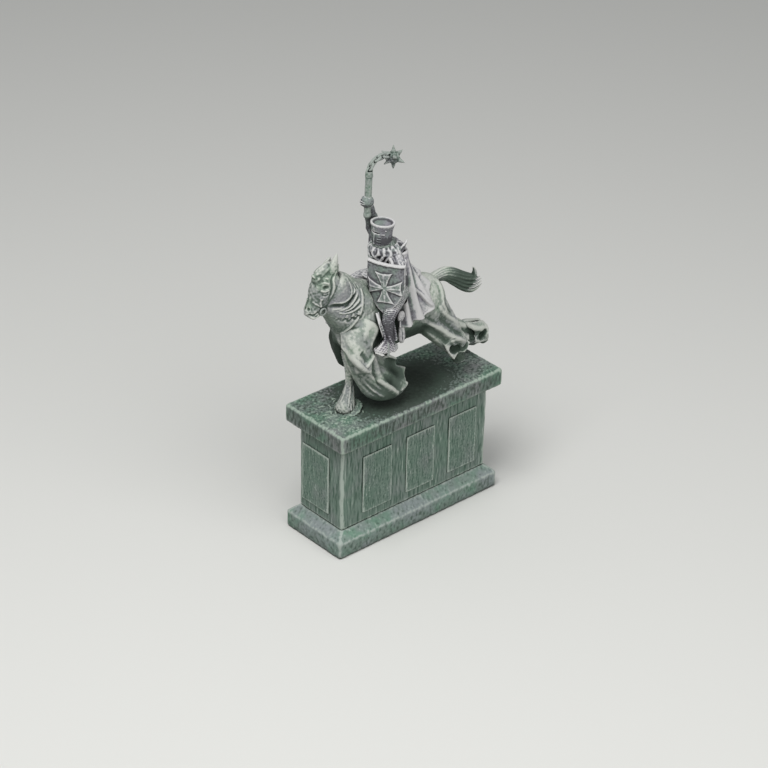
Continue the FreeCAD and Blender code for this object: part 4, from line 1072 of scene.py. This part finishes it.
def leather_work(skin):
    skin.line([(13.2, 9.5, 25.6), (13.6, 8.4, 28.6), (14, 7.1, 32)], 0.25, -0.2, SIDE, 0.5, 0)
    for z in (26.2, 27.4, 28.6):
        skin.bump((13.8, 9.4, z), 0.25, 0.2)


def saddle_work(skin):
    for side in (1, -1):
        for i in range(5):
            x = 2.4 + 1.8 * i
            quilting = [(x, 6.4 * side, 34.5), (x + 0.3, 8.2 * side, 31), (x + 0.2, 8.8 * side, 27.5)]
            skin.line(quilting, 0.55, 0.25, SIDE, 0.4)


def haft_work(skin):
    """Bound grip and a lightly waved wooden haft."""
    for i in range(16):
        z = 56 + 0.72 * i
        skin.line(ring_line((7.9 - 0.08 * i, -4.5 - 0.06 * i, z), 0.95, 8, TOP), 0.3, 0.14, TOP, 0.5, 0)


def ball_work(skin):
    skin.rough(0.08, 0.4, 71)


def chain_work(skin):
    """Paint has thickened the wire of the links."""
    skin.raise_by(np.full(len(skin.points), 0.12))


def small_castings():
    metal, iron = "verdigris_paint_on_white_metal", "dark_iron_paint_on_white_metal"
    simple_cast("cast_saddle", "saddle", metal, 0.16, saddle_work)
    simple_cast("great_helm", "helm", metal, 0.09, helm_work, 0.03)
    simple_cast("raised_arm", "rider_arm_right", metal, 0.12, arm_work)
    simple_cast("closed_gauntlet", "gauntlet_right", metal, 0.08, gauntlet_work)
    simple_cast("shield_arm", "rider_arm_left", metal, 0.12, left_arm_work, trim=shoulder_folds())
    simple_cast("near_leg", "rider_leg_left", metal, 0.12, leg_work(1), trim=leg_trim(1))
    simple_cast("far_leg", "rider_leg_right", metal, 0.12, leg_work(-1), trim=leg_trim(-1))
    simple_cast("studded_scabbard", "sword_scabbard", metal, 0.1, scabbard_work)
    simple_cast("leathers", "stirrup_leathers", metal, 0.1, leather_work)
    simple_cast("mail_aventail", "mail_collar", iron, 0.09, lambda skin: mail(skin, 0.42, 0.08), 0.08)
    simple_cast("cast_bit_rings", "bit_rings", iron, 0.07)
    simple_cast("cast_stirrups", "stirrups", iron, 0.09)
    simple_cast("bound_haft", "flail_haft", iron, 0.1, haft_work)
    simple_cast("cast_chain", "flail_chain", iron, 0.06, chain_work)
    simple_cast("spiked_ball", "flail_ball", iron, 0.09, ball_work)


# ---------------------------------------------------------------- plinth

def ground_patch():
    """Trodden ground under the planted hoof: low clods that run out over the slab."""
    grit = 0.16
    draw = np.random.default_rng(23)
    clods = []
    for _ in range(34):
        angle, reach = draw.uniform(0, 2 * math.pi), draw.uniform(1, 6.5)
        x, y = 19.8 + 1.1 * reach * math.cos(angle), 0.5 + reach * math.sin(angle)
        length, turn = draw.uniform(0.5, 1.4), draw.uniform(0, math.pi)
        reach_x, reach_y = length * math.cos(turn), length * math.sin(turn)
        route = [(x - reach_x, y - reach_y, -0.15), (x, y, 0.12), (x + reach_x, y + reach_y, -0.15)]
        clods.append(strand(route, [0.2, draw.uniform(0.25, 0.42), 0.15]))
    skin = Skin(recast(joined("trodden_ground", [copied("castings", "ground_patch"), *clods]), grit))
    skin.soften(1)
    lift = eased(skin.points[:, 2] / 0.5)
    skin.raise_by(lift * (0.3 * mottle(skin.points, 1.2, 81) + 0.2 * mottle(skin.points, 0.5, 82)))
    skin.points[:, 2] *= np.where(skin.points[:, 2] > 0, 0.75, 1)
    skin.finish(0.4, 1.4, grit)
    placed(skin.piece, "verdigris_paint_on_resin", "ground_patch", paint="slab")


def stone_block(name, node, paint, grit, hatch, height, seed, painted_shadows=()):
    """A cast slab: brushed all over while the resin was soft, with edges knocked and rounded."""
    skin = Skin(recast(copied(name, node), grit))
    skin.soften(2)
    skin.rough(height, hatch, seed)
    skin.rough(0.6 * height, [0.5 * size for size in hatch], seed + 1)
    # chips: where the patchy knocks fall on an edge, it is worn most of the way back to its softened shape
    knocks = mottle(skin.points, 1.6, seed + 2) > 0.25
    smooth = skin.averaged(skin.points, 10)
    edge = np.linalg.norm(smooth - skin.points, axis=1)
    edge_starts, edge_ramp, worn = 0.12, 0.15, 0.8
    chipped = eased((edge - edge_starts) / edge_ramp) * knocks * worn
    skin.points += (smooth - skin.points) * chipped[:, None]
    # painted shadows that the figure casts on the slab, with painted light where the depth is negative
    for wash in painted_shadows:
        skin.wash(*wash)
    skin.finish(0.3, 0.9, grit)
    placed(skin.piece, "stone_paint_on_resin", node, paint=paint)


def panels(name, node, seed):
    """Thin raised plates with a fine lip round each edge."""
    grit = 0.17
    skin = Skin(recast(copied(name, node), grit))
    skin.rough(0.05, (0.4, 0.4, 2.0), seed)
    skin.rough(0.05, (0.35, 0.35, 0.5), seed + 10)
    skin.finish(0.5, 1.2, grit)
    placed(skin.piece, "stone_paint_on_resin", node)


def plinth():
    stone_block("weathered_base", "plinth_base", "ledge", 0.3, (1.1, 1.1, 1.4), 0.07, 91)
    stone_block("brushed_core", "plinth_core", "stone_paint_on_resin", 0.32, (0.7, 0.7, 3.5), 0.07, 94)
    # painted shadow under the horse's belly and rump, and painted light in front of the planted hoof
    cap_painted_shadows = [
        ((2, 0, 0), 17, 1.5, (1.4, 1, 0.05)),
        ((-12, 0, 0), 10, 0.4, (1.2, 1, 0.07)),
        ((25, 6, 0), 8, -0.3, (1, 1, 0.1)),
    ]
    stone_block("weathered_cap", "plinth_cap", "slab", 0.3, (0.8, 0.8, 2.4), 0.07, 97, cap_painted_shadows)
    for i, node in enumerate(("side_panels_left", "side_panels_right", "end_panel_front", "end_panel_rear")):
        panels("brushed_" + node, node, 101 + i)
    for node in ("hoof_pin", "joint_pins"):
        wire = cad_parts[node]
        wire.data.materials.clear()
        wire.data.materials.append(PAINT["brass_wire"])


# ---------------------------------------------------------------- studio

def studio():
    """A pale flat floor, a small key lamp from the front left, a wide fill from the left and an even sky."""
    floor = bmesh.new()
    bmesh.ops.create_grid(floor, x_segments=1, y_segments=1, size=3.0)
    ground = new_piece("studio_floor", floor)
    material = bpy.data.materials.new("pale_card")
    material.use_nodes = True
    shader = material.node_tree.nodes["Principled BSDF"]
    shader.inputs["Base Color"].default_value = colour("#cfcfcb")
    shader.inputs["Roughness"].default_value = 0.9
    ground.data.materials.append(material)

    world = bpy.data.worlds.new("even_sky")
    bpy.context.scene.world = world
    world.use_nodes = True
    sky = world.node_tree.nodes["Background"]
    sky.inputs["Color"].default_value = colour("#f4f6f8")
    sky.inputs["Strength"].default_value = 0.36

    aim, lamp_distance = Vector((0, 0, GROUND)), 0.6
    lamps = (("key", 108, 62, 0.3, 2.9), ("fill", 182, 36, 0.5, 1.4))
    for name, azimuth, elevation, size, power in lamps:
        lamp = bpy.data.lights.new(name, "AREA")
        lamp.size = size
        lamp.energy = power
        light = bpy.data.objects.new(name, lamp)
        bpy.context.scene.collection.objects.link(light)
        a, e = math.radians(azimuth), math.radians(elevation)
        away = Vector((math.sin(a) * math.cos(e), -math.cos(a) * math.cos(e), math.sin(e)))
        light.location = aim + away * lamp_distance
        light.rotation_euler = away.to_track_quat("Z", "Y").to_euler()
    bpy.context.scene.view_settings.view_transform = "Standard"


def camera():
    """Looks down on the horse's near front quarter from 0.7 m, a little off centre and slightly rolled."""
    azimuth, elevation, roll = (math.radians(angle) for angle in (137.89, 30.79, 1.29))
    distance, aside, below, aim_height = 702.5, -3.47, -8.24, 10.2
    flat = math.cos(elevation)
    back = Vector((math.sin(azimuth) * flat, -math.cos(azimuth) * flat, math.sin(elevation)))
    level = Vector((math.cos(azimuth), math.sin(azimuth), 0))
    upright = back.cross(level)
    right = math.cos(roll) * level + math.sin(roll) * upright
    up = math.cos(roll) * upright - math.sin(roll) * level
    offset = back * distance + right * aside + up * below + Vector((0, 0, aim_height))
    place = offset * MM + Vector((0, 0, GROUND))
    lens = bpy.data.cameras.new("camera")
    lens.lens = 116.0
    lens.sensor_width = 36.0
    lens.clip_start = 0.01
    eye = bpy.data.objects.new("camera", lens)
    eye.matrix_world = Matrix.Translation(place) @ Matrix((right, up, back)).transposed().to_4x4()
    bpy.context.scene.collection.objects.link(eye)
    bpy.context.scene.camera = eye


horse_body()
horse_head()
horse_tail()
forelegs()
hind_hooves()
cloak()
torso()
shield()
small_castings()
ground_patch()
plinth()
studio()
camera()
